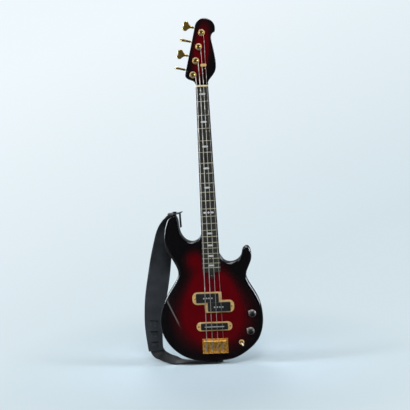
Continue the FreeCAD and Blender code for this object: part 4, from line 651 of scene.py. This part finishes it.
def backdrop(tree, way):
    """The studio's pale far side along a direction, with a painted falloff of light: lightest up to the
    left.
    """
    parts = add(tree, "ShaderNodeSeparateXYZ", {0: way}).outputs
    aside = add(tree, "ShaderNodeMath", {0: parts["X"], 1: BACKDROP_SLANT}, operation="MULTIPLY").outputs[0]
    slant = add(tree, "ShaderNodeMath", {0: aside, 1: parts["Z"]}, operation="SUBTRACT").outputs[0]
    share = add(tree, "ShaderNodeMapRange", {
        "Value": slant, "From Min": BACKDROP_SPAN[0], "From Max": BACKDROP_SPAN[1],
    }).outputs[0]
    return add(tree, "ShaderNodeValToRGB", {"Fac": share}, [
        (0.0, linear("#F1FAFF")), (1.0, linear("#D4E3EA")),
    ]).outputs[0]


def studio_paper():
    """Seamless paper: matt underfoot, with faint fibres, rising into a pale backdrop with painted falloff of
    light.

    Only a camera sees the backdrop, and only from inside, so the near side never hides the object. Mirrors
    see no floor in front, where a studio is dark.
    """
    paper = (*bpy.context.scene.bass_finish.paper, 1)
    material, tree, place = new_finish("studio_paper")
    fibre = add(tree, "ShaderNodeTexNoise", {
        "Vector": place, "Scale": lumps(3.333), "Detail": 4,
    }).outputs[0]
    colour = add(tree, "ShaderNodeValToRGB", {"Fac": fibre}, [
        (0.3, tuple(0.98 * part for part in paper)), (0.7, paper),
    ]).outputs[0]
    radius = add(tree, "ShaderNodeVectorMath", {0: place}, operation="LENGTH").outputs["Value"]
    gone = add(tree, "ShaderNodeMapRange", {
        "Value": radius, "From Min": PAPER_FADE[0], "From Max": PAPER_FADE[1],
    }, interpolation_type="SMOOTHSTEP").outputs[0]
    depth = add(tree, "ShaderNodeSeparateXYZ", {0: place}).outputs["Y"]
    front = add(tree, "ShaderNodeMath", {0: depth, 1: 0.0}, operation="LESS_THAN").outputs[0]
    paths = add(tree, "ShaderNodeLightPath").outputs
    unlit = add(tree, "ShaderNodeMath", {
        0: front, 1: paths["Is Glossy Ray"],
    }, operation="MULTIPLY").outputs[0]
    shell = add(tree, "ShaderNodeNewGeometry").outputs
    hidden = add(tree, "ShaderNodeMath", {
        0: unlit, 1: shell["Backfacing"],
    }, operation="MAXIMUM").outputs[0]
    seen = add(tree, "ShaderNodeMath", {
        0: paths["Is Camera Ray"], 1: shell["Backfacing"],
    }, operation="SUBTRACT", use_clamp=True).outputs[0]
    most = add(tree, "ShaderNodeMath", {
        0: seen, 1: -PAPER_TRACE, 2: 1.0,
    }, operation="MULTIPLY_ADD").outputs[0]
    thinned = add(tree, "ShaderNodeMath", {0: gone, 1: hidden}, operation="MAXIMUM").outputs[0]
    thin = add(tree, "ShaderNodeMath", {0: thinned, 1: most}, operation="MINIMUM").outputs[0]
    way = add(tree, "ShaderNodeVectorMath", {
        0: shell["Incoming"], "Scale": -1.0,
    }, operation="SCALE").outputs[0]
    pale = add(tree, "ShaderNodeEmission", {"Color": backdrop(tree, way)}).outputs[0]
    clear = add(tree, "ShaderNodeBsdfTransparent").outputs[0]
    beyond = add(tree, "ShaderNodeMixShader", {0: seen, 1: clear, 2: pale}).outputs[0]
    matt = add(tree, "ShaderNodeBsdfDiffuse", {"Color": colour}).outputs[0]
    shader = add(tree, "ShaderNodeMixShader", {0: thin, 1: matt, 2: beyond}).outputs[0]
    add(tree, "ShaderNodeOutputMaterial", {"Surface": shader})
    return material


def coat(material, *nodes):
    """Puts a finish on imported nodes."""
    for name in nodes:
        bpy.data.objects[name].data.materials[0] = material


def loft(rings, place, first=None, last=None):
    """A closed skin: each ring of points (n, m, 3) is joined to the next one.

    It ends in a fan to first and to last, or without them its last ring is joined to its first.
    place is each ring point's own place on the surface, (n, m, 2), for patterns.
    """
    n, m, _ = rings.shape
    points = rings.reshape(-1, 3)
    place = place.reshape(-1, 2)
    spans = n if first is None else n - 1
    i, j = np.meshgrid(np.arange(spans), np.arange(m), indexing="ij")
    beside = (j + 1) % m
    after = (i + 1) % n
    quads = np.stack([i * m + j, i * m + beside, after * m + beside, after * m + j], axis=-1)
    quads = quads.reshape(-1, 4)
    tris = np.empty((0, 3), dtype=int)
    if first is not None:
        start = np.arange(m)
        round_it = (start + 1) % m
        end = (n - 1) * m
        tris = np.concatenate([
            np.stack([np.full(m, n * m), round_it, start], axis=-1),
            np.stack([np.full(m, n * m + 1), end + start, end + round_it], axis=-1),
        ])
        points = np.concatenate([points, [first, last]])
        place = np.concatenate([place, place[[0, -1]]])
    return Skin(points, quads, tris, place)


def build(name, material, body, *skins, sharp=40):
    """One finished object made of closed skins, riding on a body if it is given one."""
    faces = []
    start = 0
    for skin in skins:
        faces += (skin.quads + start).tolist()
        faces += (skin.tris + start).tolist()
        start += len(skin.points)
    mesh = bpy.data.meshes.new(name)
    mesh.from_pydata(np.concatenate([skin.points for skin in skins]).tolist(), [], faces)
    place = np.concatenate([skin.place for skin in skins])
    corners = np.empty(len(mesh.loops), dtype=np.int32)
    mesh.loops.foreach_get("vertex_index", corners)
    mesh.uv_layers.new(name="surface").data.foreach_set("uv", place[corners].ravel())
    outward = bmesh.new()
    outward.from_mesh(mesh)
    bmesh.ops.recalc_face_normals(outward, faces=outward.faces)
    outward.to_mesh(mesh)
    outward.free()
    mesh.shade_smooth()
    mesh.set_sharp_from_angle(angle=math.radians(sharp))
    mesh.materials.append(material)
    piece = bpy.data.objects.new(name, mesh)
    bpy.context.scene.collection.objects.link(piece)
    if body:
        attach(piece, body)
    return piece


def turned(profile, base, axis, count, flutes=0, depth=None):
    """A lathe-turned skin: profile's (radius, rise) rows swept round an axis from base, in count steps.

    With flutes, the radius dips by depth, one value for each row, that many times in a turn.
    """
    profile = np.asarray(profile, dtype=float)
    axis = np.array(Vector(axis).normalized())
    side = np.array(Vector(axis).orthogonal().normalized())
    other = np.cross(axis, side)
    angle = np.linspace(0, 2 * math.pi, count, endpoint=False)
    radius = profile[:, :1] * np.ones(count)
    if flutes:
        radius = radius - np.asarray(depth)[:, None] * (0.5 + 0.5 * np.cos(flutes * angle)) ** 2
    ray = np.cos(angle)[:, None] * side + np.sin(angle)[:, None] * other
    rings = np.asarray(base) + profile[:, 1][:, None, None] * axis + radius[:, :, None] * ray
    place = np.stack(np.broadcast_arrays(profile[:, 1:], angle * profile[:, 0].max()), axis=-1)
    ends = [np.asarray(base) + rise * axis for rise in (profile[0, 1], profile[-1, 1])]
    return loft(rings, place, *ends)


def through(stations, count):
    """A smooth line through stations, at even steps: cubic pieces that meet with the same slope."""
    chord = np.concatenate([[0], np.cumsum(np.linalg.norm(np.diff(stations[:, :3], axis=0), axis=1))])
    slope = np.gradient(stations, chord, axis=0)
    along = np.linspace(0, chord[-1], count)
    i = np.clip(np.searchsorted(chord, along, side="right") - 1, 0, len(chord) - 2)
    run = (chord[i + 1] - chord[i])[:, None]
    t = (along - chord[i])[:, None] / run
    line = stations[i] * (1 + 2 * t) * (1 - t) ** 2 + slope[i] * run * t * (1 - t) ** 2
    return line + stations[i + 1] * t ** 2 * (3 - 2 * t) + slope[i + 1] * run * t ** 2 * (t - 1)


def ribbon_frame(route, count):
    """A ribbon's centre line, lengths along it, widths and unit directions: ahead, across and outward."""
    line = through(route, count)
    centre = line[:, :3]
    along = np.concatenate([[0], np.cumsum(np.linalg.norm(np.diff(centre, axis=0), axis=1))])
    ahead = np.gradient(centre, along, axis=0)
    ahead /= np.linalg.norm(ahead, axis=1)[:, None]
    turn = np.radians(line[:, 4])
    across = np.stack([np.cos(turn), np.sin(turn), np.zeros(count)], axis=1)
    across -= (across * ahead).sum(axis=1)[:, None] * ahead
    across /= np.linalg.norm(across, axis=1)[:, None]
    return centre, along, line[:, 3], ahead, across, np.cross(ahead, across)


def stadium(span, edge, round_it):
    """A flat section's outline with round edges, as three arrays over its points.

    They are the share of the way across, 1 to -1 on one face and back on the other, how far a point stands
    out past that, and its height. span counts the points on each face, and edge those on each round edge.
    """
    bend = np.linspace(math.pi / 2, 3 * math.pi / 2, edge)
    flat = np.linspace(1, -1, span + 2)[1:-1]
    share = np.concatenate([flat, np.full(edge, -1.0), -flat, np.full(edge, 1.0)])
    aside = np.concatenate([0 * flat, round_it * np.cos(bend), 0 * flat, -round_it * np.cos(bend)])
    height = np.concatenate([
        np.full(span, round_it), round_it * np.sin(bend), np.full(span, -round_it), -round_it * np.sin(bend),
    ])
    return share, aside, height


def ribbon(route, thick, count, bow=0.0, lift=0.0, trim=(0.0, 1.0), narrow=1.0):
    """A flat strap with rounded edges along a route: a stadium section carried down the line.

    bow arches it outward in the middle, lift moves it outward, trim keeps a share of its length and narrow
    a share of its width.
    """
    centre, along, width, ahead, across, outward = ribbon_frame(route, count)
    kept = slice(int(trim[0] * (count - 1)), int(math.ceil(trim[1] * (count - 1))) + 1)
    round_it = thick / 2
    share, aside, height = stadium(13, 9, round_it)
    half = narrow * width[kept, None] / 2 - round_it
    offset = share * half + aside
    raised = height + bow * (1 - share ** 2) + lift
    rings = centre[kept, None] + offset[:, :, None] * across[kept, None]
    rings = rings + raised[:, None] * outward[kept, None]
    place = np.stack(np.broadcast_arrays(along[kept, None], offset), axis=-1)
    return loft(rings, place, rings[0].mean(axis=0), rings[-1].mean(axis=0))


def tab(centre, sides, hole, thick, lift):
    """A flat end with a round hole for its button: a stadium section carried round the hole.

    sides are its straight edges as (distance, bearing in degrees) from the hole. A high power of each edge's
    nearness is summed, so the nearest one rules and round corners join them. lift raises the tab's far end
    by the square of the way along X.
    """
    angle = np.linspace(0, 2 * math.pi, 120, endpoint=False)
    reach = np.zeros_like(angle)
    for distance, bearing in sides:
        facing = np.maximum(np.cos(angle - math.radians(bearing)), 1e-6)
        reach += (facing / distance) ** TAB_CORNER
    reach = reach ** (-1 / TAB_CORNER)
    round_it = thick / 2
    share, aside, height = stadium(7, 9, round_it)
    low = hole + round_it
    radius = low + (1 - share) / 2 * (reach[:, None] - round_it - low) - aside
    x = radius * np.cos(angle)[:, None]
    y = radius * np.sin(angle)[:, None]
    z = height + lift * (np.maximum(x, 0) / max(d for d, _ in sides)) ** 2
    rings = np.stack(np.broadcast_arrays(x, y, z), axis=-1) + np.array(centre)
    return loft(rings, np.stack([x, y], axis=-1))


def stitches(route, thick, pitch, inset):
    """Rows of stitches on both faces along both hems: a small spindle at each place, laid along the line.

    A spindle is a hexagon carried past four stations, thinner at its two ends.
    """
    centre, along, width, ahead, across, outward = ribbon_frame(route, STITCH_STEPS)
    spots = np.arange(pitch, along[-1] - pitch, pitch)
    i = np.searchsorted(along, spots)
    rise = np.array([-0.36, -0.22, 0.22, 0.36]) * pitch
    fat = np.array([0.5, 1.0, 1.0, 0.5]) * THREAD_RADIUS
    angle = np.linspace(0, 2 * math.pi, 6, endpoint=False)
    wide = np.cos(angle)[:, None] * across[i][:, None, None]
    tall = np.sin(angle)[:, None] * outward[i][:, None, None]
    spindle = rise[:, None, None] * ahead[i][:, None, None] + fat[:, None, None] * (wide + tall)
    place = np.zeros((len(rise), len(angle), 2))
    skins = []
    for side in (-1, 1):
        for face in (-1, 1):
            hem = centre[i] + side * (width[i, None] / 2 - inset) * across[i]
            seat = hem + face * thick / 2 * outward[i]
            for rings in seat[:, None, None] + spindle:
                skins.append(loft(rings, place, rings[0].mean(axis=0), rings[-1].mean(axis=0)))
    return skins


def coil(x, y, low, high, radius, wire, turns):
    """A spring's round wire: a circle of radius wire carried up a helix about Z, capped at both ends."""
    angle = np.linspace(0, 2 * math.pi * turns, 32 * turns + 1)
    rise = np.linspace(low + wire, high - wire, len(angle))
    out = np.stack([np.cos(angle), np.sin(angle), np.zeros_like(angle)], axis=1)
    line = np.array([x, y, 0]) + radius * out
    line[:, 2] = rise
    ahead = np.gradient(line, axis=0)
    ahead /= np.linalg.norm(ahead, axis=1)[:, None]
    other = np.cross(ahead, out)
    turn = np.linspace(0, 2 * math.pi, 12, endpoint=False)
    ring = np.cos(turn)[:, None] * out[:, None] + np.sin(turn)[:, None] * other[:, None]
    rings = line[:, None] + wire * ring
    place = np.stack(np.broadcast_arrays(radius * angle[:, None], wire * turn), axis=-1)
    return loft(rings, place, line[0], line[-1])


def screw_places(node):
    """Each screw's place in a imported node: the middle of its head's face, and the way it faces along Y.

    A screw's points are those near its first one, seen along Y, and its head is where they are widest.
    """
    mesh = bpy.data.objects[node].data
    points = np.empty(3 * len(mesh.vertices))
    mesh.vertices.foreach_get("co", points)
    points = points.reshape(-1, 3)
    places = []
    while len(points):
        near = np.linalg.norm(points[:, [0, 2]] - points[0, [0, 2]], axis=1) < SCREW_APART
        low = points[near].min(axis=0)
        high = points[near].max(axis=0)
        middle = (low + high) / 2
        wide = np.abs(points[near, 0] - middle[0]) > SHANK_REACH
        head = points[near][wide, 1].mean()
        faces = -1 if head < middle[1] else 1
        places.append((middle[0], low[1] if faces < 0 else high[1], middle[2], faces))
        points = points[~near]
    return places


def screw_head(x, face, z, faces, depth, turn):
    """A domed head with a cross: rings of a dome whose height drops inside two crossed slots.

    The dome is an ellipse turned about the screw's axis, and the cross is turned about it too.
    """
    radius = np.concatenate([np.linspace(0.1 * MM, CROSS_REACH, 13), HEAD_RIM])
    dome = np.sqrt(np.maximum(1 - (radius / HEAD_ROUND) ** 2, 0)) * HEAD_RISE
    angle = np.linspace(0, 2 * math.pi, 48, endpoint=False)
    across = radius[:, None] * np.cos(angle)
    up = radius[:, None] * np.sin(angle)
    slot = np.minimum(np.abs(across), np.abs(up))
    within = np.clip((CROSS_REACH - radius) / CROSS_END, 0, 1)
    inside = np.clip((CROSS_HALF - slot) / CROSS_WALL, 0, 1) * within[:, None]
    height = dome[:, None] - depth * inside - HEAD_RISE
    height[-1] -= HEAD_SIDE
    cos, sin = math.cos(turn), math.sin(turn)
    rings = np.stack([
        x + cos * across - sin * up, face + faces * height, z + sin * across + cos * up,
    ], axis=-1)
    place = np.stack([across, up], axis=-1)
    return loft(rings, place, (x, face - faces * depth, z), (x, rings[-1, 0, 1], z))


class BASS_OT_finish_wood(bpy.types.Operator):
    """Lacquer the body and neck, and oil the fingerboard"""
    bl_idname = "bass.finish_wood"
    bl_label = "Wood"

    def execute(self, context):
        coat(shared(sunburst_lacquer), "neck_beam", "body_wing_bass", "body_wing_treble", "body_horn_treble")
        coat(shared(rosewood), "fingerboard")
        return {"FINISHED"}


class BASS_OT_finish_neck(bpy.types.Operator):
    """Finish the frets, inlays, nut and truss rod"""
    bl_idname = "bass.finish_neck"
    bl_label = "Neck fittings"

    def execute(self, context):
        coat(shared(mother_of_pearl), "position_markers")
        coat(shared(nickel_silver), "frets")
        coat(shared(bone), "nut")
        coat(shared(bright_steel), "truss_rod", "truss_rod_nut")
        coat(shared(black_phenolic), "truss_rod_cover")
        return {"FINISHED"}


class BASS_OT_finish_strings(bpy.types.Operator):
    """Finish the strings and their turns on the posts"""
    bl_idname = "bass.finish_strings"
    bl_label = "Strings"

    def execute(self, context):
        coat(shared(wound_string), *(f"{part}_{s}" for part in ("string", "string_wrap") for s in STRINGS))
        return {"FINISHED"}


class BASS_OT_finish_hardware(bpy.types.Operator):
    """Plate the tuners, bridge, strap buttons, jack and other hardware"""
    bl_idname = "bass.finish_hardware"
    bl_label = "Hardware"

    def execute(self, context):
        groups = ("tuner_post", "tuner_key", "intonation_screw")
        coat(shared(gold_plating), *(f"{group}_{s}" for group in groups for s in STRINGS))
        coat(shared(gold_plating), "tuner_plates", "output_jack")
        coat(shared(rubbed_gold), "bridge_plate", *(f"saddle_{s}" for s in STRINGS))
        coat(shared(satin_gold), "tuner_ferrules", "string_retainer", "switch_collar")
        coat(shared(bright_steel), "potentiometers", "knob_washers")
        coat(shared(black_nickel), "strap_buttons")
        return {"FINISHED"}


class BASS_OT_finish_pickups(bpy.types.Operator):
    """Finish the pickups, and the electrics behind them"""
    bl_idname = "bass.finish_pickups"
    bl_label = "Pickups and electrics"

    def execute(self, context):
        coat(shared(satin_gold), "pickup_rings")
        coat(shared(satin_abs), "pickup_covers", "control_cover", "selector_switch", "wiring")
        coat(shared(bright_steel), "pickup_poles")
        coat(shared(coil_tape), "pickup_coils")
        coat(shared(dipped_resin), "tone_capacitor")
        return {"FINISHED"}


class BASS_OT_turn_knobs(bpy.types.Operator):
    """Turn the two knobs: a black fluted grip on a nickel skirt, its pale ring partly a painted highlight"""
    bl_idname = "bass.turn_knobs"
    bl_label = "Knobs"

    def execute(self, context):
        depth = context.scene.bass_finish.flute_depth
        for name, body in (("volume_knob", "volume_control"), ("tone_knob", "tone_control")):
            low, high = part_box(name)
            base = ((low[0] + high[0]) / 2, KNOB_SEAT, (low[2] + high[2]) / 2)
            fluted = turned(
                KNOB_GRIP[:, :2] * MM, base, (0, -1, 0), KNOB_STEPS, KNOB_FLUTES, KNOB_GRIP[:, 2] * depth,
            )
            piece = build(f"{name}_turned", shared(black_phenolic), body, fluted, sharp=50)
            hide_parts(name)
            # The skirt's pale nickel stands partly for a painted highlight: the light on a knob's side
            plain = turned(KNOB_SKIRT * MM, base, (0, -1, 0), KNOB_STEPS)
            ring = build(f"{name}_skirt", shared(highlight_nickel), body, plain)
        return {"FINISHED"}


class BASS_OT_turn_toggle(bpy.types.Operator):
    """Turn the toggle's plated lever and its cream tip"""
    bl_idname = "bass.turn_toggle"
    bl_label = "Toggle"

    def execute(self, context):
        aside = math.sin(TOGGLE_LEAN)
        way = (aside * math.cos(TOGGLE_HEADING), -math.cos(TOGGLE_LEAN), aside * math.sin(TOGGLE_HEADING))
        stem = turned(TOGGLE_STEM * MM, TOGGLE_PIVOT, way, 40)
        lever = build("toggle_lever_stem", shared(gold_plating), "toggle", stem)
        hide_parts("toggle_lever")
        tip = turned(TOGGLE_TIP * MM, TOGGLE_PIVOT, way, 48)
        cap = build("toggle_lever_tip", shared(cream_resin), "toggle", tip)
        return {"FINISHED"}


class BASS_OT_wind_springs(bpy.types.Operator):
    """Wind the springs behind the saddles"""
    bl_idname = "bass.wind_springs"
    bl_label = "Springs"

    def execute(self, context):
        low, high = np.array(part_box("saddle_springs"))
        for string in STRINGS:
            x, y, _ = np.array(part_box(f"intonation_screw_{string}")).mean(axis=0)
            wound = coil(x, y, low[2], high[2], SPRING_RADIUS, SPRING_WIRE, SPRING_TURNS)
            piece = build(f"saddle_spring_{string}_coil", shared(bright_steel), None, wound)
            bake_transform(piece)
            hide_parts("saddle_springs")
        return {"FINISHED"}


class BASS_OT_set_screws(bpy.types.Operator):
    """Set the trim screws, each with a domed head and a cross"""
    bl_idname = "bass.set_screws"
    bl_label = "Screws"

    def execute(self, context):
        depth = context.scene.bass_finish.recess_depth
        places = screw_places("trim_screws")
        heads = [screw_head(*place, depth, SCREW_TURN * number) for number, place in enumerate(places)]
        piece = build("trim_screws_crossed", shared(gold_plating), "bass", *heads)
        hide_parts("trim_screws")
        return {"FINISHED"}


class BASS_OT_hang_strap(bpy.types.Operator):
    """Hang the webbing strap by its leather ends"""
    bl_idname = "bass.hang_strap"
    bl_label = "Strap"

    def execute(self, context):
        chosen = context.scene.bass_finish
        thick = chosen.strap_thick
        web = ribbon(BELT_ROUTE, thick, BELT_STEPS, bow=BELT_BOW)
        belt = build("strap_belt_web", shared(nylon_web), "bass", web)
        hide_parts("strap_belt")
        sewn = stitches(BELT_ROUTE, thick, chosen.stitch_pitch, chosen.stitch_inset)
        hems = build("strap_stitches", shared(waxed_thread), "bass", *sewn)
        # Each slot is a raised near-black sheet of painted shade, for the shade inside its opening
        slot_shades = build("strap_slots", shared(slot_shade_leather), "bass", *(
            ribbon(
                BELT_ROUTE, SLOT_THICK, SLOT_STEPS, bow=BELT_BOW, lift=SLOT_LIFT,
                trim=(at, at + SLOT_RUN), narrow=SLOT_NARROW,
            )
            for at in SLOT_STARTS
        ))
        tongue = build("strap_tongue", shared(tongue_leather), "bass", *(
            ribbon(
                BELT_ROUTE, TONGUE_THICK, SLOT_STEPS, bow=BELT_BOW, lift=SLOT_LIFT,
                trim=(at + SLOT_RUN, at + TONGUE_END), narrow=TONGUE_NARROW,
            )
            for at in SLOT_STARTS
        ))
        horn_tab = tab(HORN_BUTTON, HORN_TAB, TAB_HOLE, thick, HORN_TAB_LIFT)
        strip = ribbon(STRIP_ROUTE, thick, STRIP_STEPS)
        tip = build("strap_tip_hide", shared(strap_leather), "bass", horn_tab, strip)
        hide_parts("strap_tip")
        run = ribbon(TAIL_ROUTE, thick, TAIL_STEPS, bow=TAIL_BOW)
        butt_tab = tab(BUTT_BUTTON, BUTT_TAB, TAB_HOLE, thick, 0)
        tail = build("strap_tail_hide", shared(strap_leather), "bass", run, butt_tab)
        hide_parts("strap_tail")
        # Each piece's line is measured along its length and width, as if laid flat; the results are not used
        for piece, route, tab_length in (
            (belt, BELT_ROUTE, 0), (tip, STRIP_ROUTE, HORN_TAB_LENGTH), (tail, TAIL_ROUTE, BUTT_TAB_LENGTH),
        ):
            along, width = ribbon_frame(route, FLAT_STEPS)[1:3]
        return {"FINISHED"}


class BASS_OT_set_stage(bpy.types.Operator):
    """Set the paper floor, the soft lamps, the pale backdrop and the camera"""
    bl_idname = "bass.set_stage"
    bl_label = "Studio"

    def execute(self, context):
        scene = context.scene
        # A room with a flat floor and round walls: a squared-off ellipse turned about Z, facing inward
        floor = CAD_BOX[0][2] - FLOOR_GAP
        lean = np.linspace(ROOM_LEAN, -ROOM_LEAN, ROOM_STEPS)
        reach = ROOM_REACH * np.sqrt(np.cos(lean))
        rise = ROOM_REACH * np.sign(lean) * np.sqrt(np.abs(np.sin(lean)))
        profile = np.stack([reach, floor + rise - rise[-1]], axis=1)
        room = turned(profile, (0, 0, 0), (0, 0, 1), ROOM_SIDES)
        mesh = bpy.data.meshes.new("studio_floor")
        mesh.from_pydata(room.points.tolist(), [], [*room.quads.tolist(), *room.tris.tolist()])
        mesh.shade_smooth()
        mesh.materials.append(shared(studio_paper))
        ground = bpy.data.objects.new("studio_floor", mesh)
        scene.collection.objects.link(ground)

        for name, place, aim, size, spread, watts, tint in LAMPS:
            lamp = bpy.data.lights.new(name, type="AREA")
            lamp.shape = "ELLIPSE"
            lamp.size, lamp.size_y = size
            lamp.spread = math.radians(spread)
            lamp.energy = watts
            lamp.color = linear(tint)[:3]
            holder = bpy.data.objects.new(name, lamp)
            holder.location = place
            holder.rotation_euler = (Vector(aim) - Vector(place)).to_track_quat("-Z", "Y").to_euler()
            scene.collection.objects.link(holder)

        # The air is dim. A camera sees the backdrop all round, and a mirror sees it behind the object to
        # both sides, but hardly straight behind
        world = bpy.data.worlds.new("studio_air")
        world.use_nodes = True
        tree = world.node_tree
        tree.nodes.clear()
        way = add(tree, "ShaderNodeTexCoord").outputs["Generated"]
        depth = add(tree, "ShaderNodeSeparateXYZ", {0: way}).outputs["Y"]
        behind = add(tree, "ShaderNodeValToRGB", {"Fac": depth}, [
            (0.0, (0, 0, 0, 1)), (0.22, (1, 1, 1, 1)), (0.5, (1, 1, 1, 1)), (0.85, (0.12, 0.12, 0.12, 1)),
        ]).outputs[0]
        pale = backdrop(tree, way)
        mirrored = add(tree, "ShaderNodeMix", {
            0: behind, 6: linear("#262829"), 7: pale,
        }, data_type="RGBA").outputs[2]
        paths = add(tree, "ShaderNodeLightPath").outputs
        unseen = add(tree, "ShaderNodeMix", {
            0: paths["Is Glossy Ray"], 6: linear("#6A6D70"), 7: mirrored,
        }, data_type="RGBA").outputs[2]
        seen = add(tree, "ShaderNodeMix", {
            0: paths["Is Camera Ray"], 6: unseen, 7: pale,
        }, data_type="RGBA").outputs[2]
        air = add(tree, "ShaderNodeBackground", {"Color": seen}).outputs[0]
        add(tree, "ShaderNodeOutputWorld", {"Surface": air})
        scene.world = world
        scene.view_settings.view_transform = "Standard"

        back = Vector((
            math.sin(CAMERA_AZIMUTH) * math.cos(CAMERA_RISE),
            -math.cos(CAMERA_AZIMUTH) * math.cos(CAMERA_RISE),
            math.sin(CAMERA_RISE),
        ))
        right = back.cross(Vector((0, 0, -1))).normalized()
        up = back.cross(right)
        turn = math.cos(CAMERA_ROLL), math.sin(CAMERA_ROLL)
        across = turn[0] * right - turn[1] * up
        upward = turn[1] * right + turn[0] * up
        axes = Matrix((across, upward, back)).transposed()
        lens = bpy.data.cameras.new("photo_camera")
        lens.sensor_width = CAMERA_SENSOR
        lens.lens = CAMERA_LENS
        camera = bpy.data.objects.new("photo_camera", lens)
        camera.matrix_world = Matrix.Translation(CAMERA_AIM + CAMERA_DISTANCE * back) @ axes.to_4x4()
        scene.collection.objects.link(camera)
        scene.camera = camera
        return {"FINISHED"}


class BASS_PT_dressing(bpy.types.Panel):
    """Lists the pieces and their settings in the sidebar"""
    bl_idname = "BASS_PT_dressing"
    bl_label = "Electric Bass"
    bl_space_type = "VIEW_3D"
    bl_region_type = "UI"
    bl_category = "Bass"

    def draw(self, context):
        for name in BassFinish.__annotations__:
            self.layout.prop(context.scene.bass_finish, name)
        for operator in OPERATORS:
            self.layout.operator(operator.bl_idname)


OPERATORS = (
    BASS_OT_finish_wood, BASS_OT_finish_neck, BASS_OT_finish_strings, BASS_OT_finish_hardware,
    BASS_OT_finish_pickups, BASS_OT_turn_knobs, BASS_OT_turn_toggle, BASS_OT_wind_springs,
    BASS_OT_set_screws, BASS_OT_hang_strap, BASS_OT_set_stage,
)
CLASSES = (BassFinish, *OPERATORS, BASS_PT_dressing)


def register():
    for item in CLASSES:
        bpy.utils.register_class(item)
    bpy.types.Scene.bass_finish = bpy.props.PointerProperty(type=BassFinish)


def unregister():
    del bpy.types.Scene.bass_finish
    for item in reversed(CLASSES):
        bpy.utils.unregister_class(item)


def main():
    """Makes every piece in order; the box before them is noted when the script loads."""
    register()
    bpy.ops.bass.finish_wood()
    bpy.ops.bass.finish_neck()
    bpy.ops.bass.finish_strings()
    bpy.ops.bass.finish_hardware()
    bpy.ops.bass.finish_pickups()
    bpy.ops.bass.turn_knobs()
    bpy.ops.bass.turn_toggle()
    bpy.ops.bass.wind_springs()
    bpy.ops.bass.set_screws()
    bpy.ops.bass.hang_strap()
    bpy.ops.bass.set_stage()


if __name__ == "__main__":
    main()
